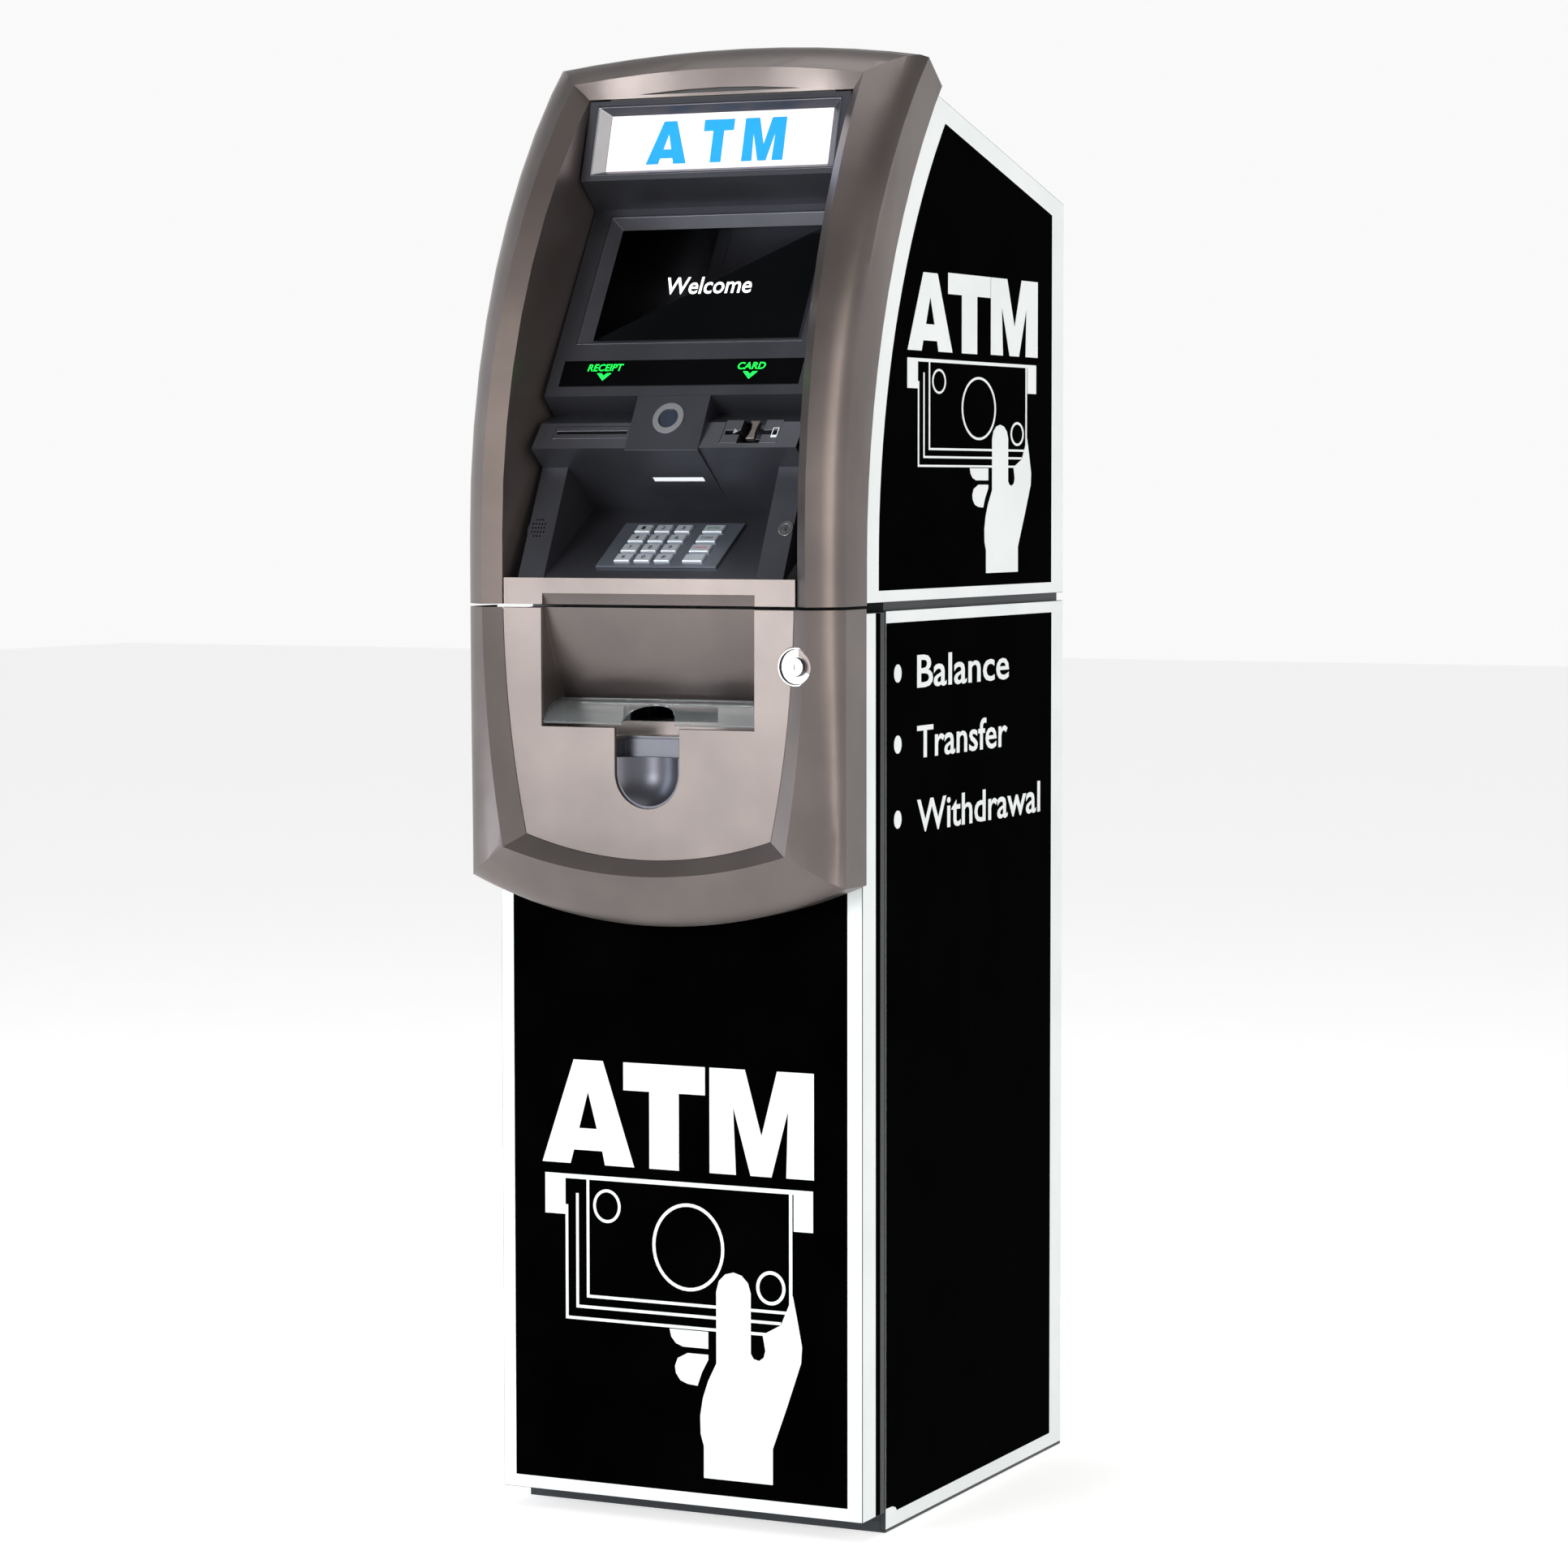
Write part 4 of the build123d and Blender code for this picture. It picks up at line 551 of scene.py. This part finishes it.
# ------------------------------------------------------------------ sign, screen and legends
def proud_of(node, line):
    """How far a node's highest face stands off a sloping line, in millimetres."""
    slope = on_slope(line, 0)
    outward = slope.col[2].to_3d()
    origin = slope.translation
    return max((Vector(v.co) - origin).dot(outward) for v in frame["nodes"][node].data.vertices) / MM


# Distances down the sloping faces to the middle of each thing that is lettered.
sign_middle, screen_middle, strip_middle = 42.06, 84.0, 194.1
hair = 0.02
sign_place = on_slope(sign_line, sign_middle, proud_of("sign_lens", sign_line) + hair)
cut_film("sign_letters", capitals([(-79, -34, -23, 22), (-18, 15.5, -23, 22), (27.5, 73, -23, 22)]),
         sign_place, 0.2, sky_film, "upper_fascia")
screen_place = on_slope(screen_line, screen_middle, proud_of("screen_glass", screen_line) + hair)
lettering("screen_words", "Welcome", 96, 20, (0, -2), screen_place, legend_ink, white_light, "upper_fascia")
strip_place = on_slope(screen_line, strip_middle, proud_of("indicator_strip", screen_line) + hair)
legend_height, legend_up, legend_slant = 8, 6.5, 0.12
card_legend_x = 77
legends = (("receipt", "RECEIPT", 38, receipt_x), ("card", "CARD", 30, card_legend_x))
for name, word, width, x in legends:
    lettering(name + "_word", word, width, legend_height, (x, legend_up), strip_place, legend_ink,
              green_light, "upper_fascia", legend_slant)
for name, _, _, x in legends:
    chevron = [(x - 8, 0), (x - 3, 0), (x, -3), (x + 3, 0), (x + 8, 0), (x, -8.5)]
    cut_film(name + "_arrow", [chevron], strip_place, legend_ink, green_light, "upper_fascia")

# Painted shade: a black sheet behind the arch closes the gap over the sign and stands in for the shadow
# there.
shade_sheet_y, shade_sheet_half, shade_sheet_bottom, shade_sheet_top = -183, 125, 1420.5, 1438
cut_film("sign_shade_sheet", [[(-shade_sheet_half, shade_sheet_bottom), (shade_sheet_half, shade_sheet_bottom),
                          (shade_sheet_half, shade_sheet_top), (-shade_sheet_half, shade_sheet_top)]],
         front_at(shade_sheet_y), 1.0, black_abs, "upper_fascia")


# ------------------------------------------------------------------ camera rim and card mouth
def softened(piece, width):
    """Round every sharp edge of a cut piece."""
    only(piece)
    rounding = piece.modifiers.new("rounded_edges", "BEVEL")
    rounding.width = width * MM
    rounding.segments = 3
    rounding.limit_method = "ANGLE"
    rounding.harden_normals = True
    bpy.ops.object.modifier_apply(modifier="rounded_edges")


def raised(place, distance):
    """The same place, moved out along its own face."""
    return place @ Matrix.Translation((0, 0, distance * MM))


# The camera's seat is found from its node, which also holds the lamp window lower down.
seat_points = [v.co / MM for v in frame["nodes"]["camera_lens"].data.vertices if v.co.z / MM > lamp_top + 10]
seat_middle = sum(seat_points, Vector()) / len(seat_points)
camera_tilt = on_slope(camera_line, 0).to_3x3().to_4x4()
outward = camera_tilt.col[2].to_3d()
seat_top = max(point.dot(outward) for point in seat_points)
seat_front = seat_middle + outward * (seat_top - seat_middle.dot(outward))
camera_place = Matrix.Translation(seat_front * MM) @ camera_tilt
rim_radius, rim_width, glass_radius = 16.5, 5.7, 10.6
camera_rim = cut_film("camera_rim", ring(0, 0, rim_radius, rim_radius, rim_width, 56),
                      raised(camera_place, 0.4), 2.2, satin_nickel, "upper_fascia")
softened(camera_rim, 1.7)
cut_film("camera_glass", [disc(0, 0, glass_radius, glass_radius)], camera_place, 0.5, camera_glass,
         "upper_fascia")

# The card mouth has a waisted fin across its notch, an arrow at one side and a card sign at the other.
card_place = on_slope(mouth_line, 12, hair)
fin = [(card_x + across, up) for across, up in (
    (-4.8, 12.5), (7.4, 12.5), (6.2, 8), (5.4, 2), (5.6, -4), (6.6, -10.5), (-3.2, -10.5), (-1.2, -4),
    (-0.6, 2), (-1.6, 8))]
card_fin = cut_film("card_fin", [fin], raised(card_place, -4), 5.6, bronze_coat, "upper_fascia")
softened(card_fin, 1.2)
arrow = [(card_x - 19, 3.5), (card_x - 19, -3), (card_x - 14, 0)]
cut_film("card_arrow_mark", [arrow], card_place, 0.15, satin_nickel, "upper_fascia")
card_sketch = [rounded(card_x + 22.5, card_x + 29, -8, 4.5, 0.8, 3),
               rounded(card_x + 23.3, card_x + 28.2, -5, 3.7, 0.5, 3)]
cut_film("card_icon", card_sketch, card_place, 0.12, white_film, "upper_fascia")

# ------------------------------------------------------------------ key legends
# The words in the order of the keys: rows from the back of the shelf, each from the viewer's left.
key_words = ["1", "2", "3", "ENTER", "4", "5", "6", "CLEAR", "7", "8", "9", "CANCEL", "*", "0", "#", ""]
inks = {"ENTER": green_ink, "CANCEL": red_ink}
row_height = 4
key_centres = {}
for node in key_nodes:
    low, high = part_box(node)
    key_centres[node] = (low + high) / 2
in_order = sorted(key_centres, key=lambda n: (-round(key_centres[n].z / (row_height * MM)), key_centres[n].x))
shelf_tilt = on_slope(shelf_line, 0).to_3x3()
shelf_normal = shelf_tilt.col[2]
for node, word in zip(in_order, key_words):
    if not word:
        continue
    centre = key_centres[node]
    top = max(Vector(v.co).dot(shelf_normal) for v in frame["nodes"][node].data.vertices)
    lift = top - centre.dot(shelf_normal) + hair / 2 * MM
    spot = Matrix.Translation(centre + shelf_normal * lift) @ shelf_tilt.to_4x4()
    width, height = (4.0, 5.5) if len(word) == 1 else (2.6 * len(word), 3.2)
    lettering("legend_" + node, word, width, height, (0, 0), spot, 0.06, inks.get(word, black_abs), node)

# ------------------------------------------------------------------ room, light and camera
bpy.ops.mesh.primitive_plane_add(size=30, location=(0, 6, 0))
floor = bpy.context.view_layer.objects.active
floor.name = "studio_floor"
# Pale paper sweep, lit from below so that it stays even.
floor_finish = grained("studio_floor", "E6E6E6", "EAEAEA", 30, (0.7, 0.8), 0.0, Specular_IOR_Level=0.05,
                       Emission_Color=linear("FFFFFF"), Emission_Strength=0.62)
floor.data.materials.append(floor_finish)

# The room is bright at the horizon and dark overhead, which gives the coats their contrast.
world = bpy.data.worlds.new("studio")
world.use_nodes = True
sky = world.node_tree.nodes["Background"]
around = add(world.node_tree, "ShaderNodeTexCoord", {})
axes = add(world.node_tree, "ShaderNodeSeparateXYZ", {}, {"Vector": around.outputs["Generated"]})
walls = add(world.node_tree, "ShaderNodeMapRange",
            {"From Min": 0.12, "From Max": 0.6, "To Min": 0.95, "To Max": 0.2,
             "interpolation_type": "SMOOTHSTEP"},
            {"Value": axes.outputs["Z"]})
world.node_tree.links.new(walls.outputs["Result"], sky.inputs["Strength"])
sky.inputs["Color"].default_value = linear("FFFFFF")
bpy.context.scene.world = world


def softbox(name, spot, aim, size, power, colour="FFFFFF"):
    """A rectangular lamp at a spot, in metres, turned to its aim."""
    lamp = bpy.data.lights.new(name, "AREA")
    lamp.shape = "RECTANGLE"
    lamp.size, lamp.size_y = size
    lamp.energy = power
    lamp.color = linear(colour)[:3]
    holder = bpy.data.objects.new(name, lamp)
    holder.location = spot
    holder.rotation_euler = (Vector(spot) - Vector(aim)).to_track_quat("Z", "Y").to_euler()
    bpy.context.scene.collection.objects.link(holder)


softbox("left_softbox", (-3.4, -1.6, 1.5), (0, -0.2, 1.0), (0.9, 3.0), 42, "E8F1FF")
softbox("front_softbox", (-1.7, -4.5, 1.5), (0, 0, 0.9), (1.6, 1.8), 100)
softbox("right_softbox", (3.8, -1.8, 1.6), (0, -0.2, 1.0), (0.9, 3.0), 42, "FFF3EA")
softbox("top_softbox", (0, 0.2, 4.2), (0, 0, 0), (3.0, 3.0), 50)

# The camera looks at the front and the viewer's right side, a little from above.
camera_turn, camera_dip, camera_roll = 25.56, 3.79, 0.07
camera = bpy.data.cameras.new("camera")
camera.lens = 102.27
camera.sensor_width = 36
camera.clip_end = 60
camera_holder = bpy.data.objects.new("camera", camera)
camera_holder.location = (1.9870, -4.1962, 1.0311)
camera_holder.rotation_euler = (math.radians(90 - camera_dip), math.radians(camera_roll),
                                math.radians(camera_turn))
bpy.context.scene.collection.objects.link(camera_holder)
bpy.context.scene.camera = camera_holder
bpy.context.scene.view_settings.view_transform = "Standard"
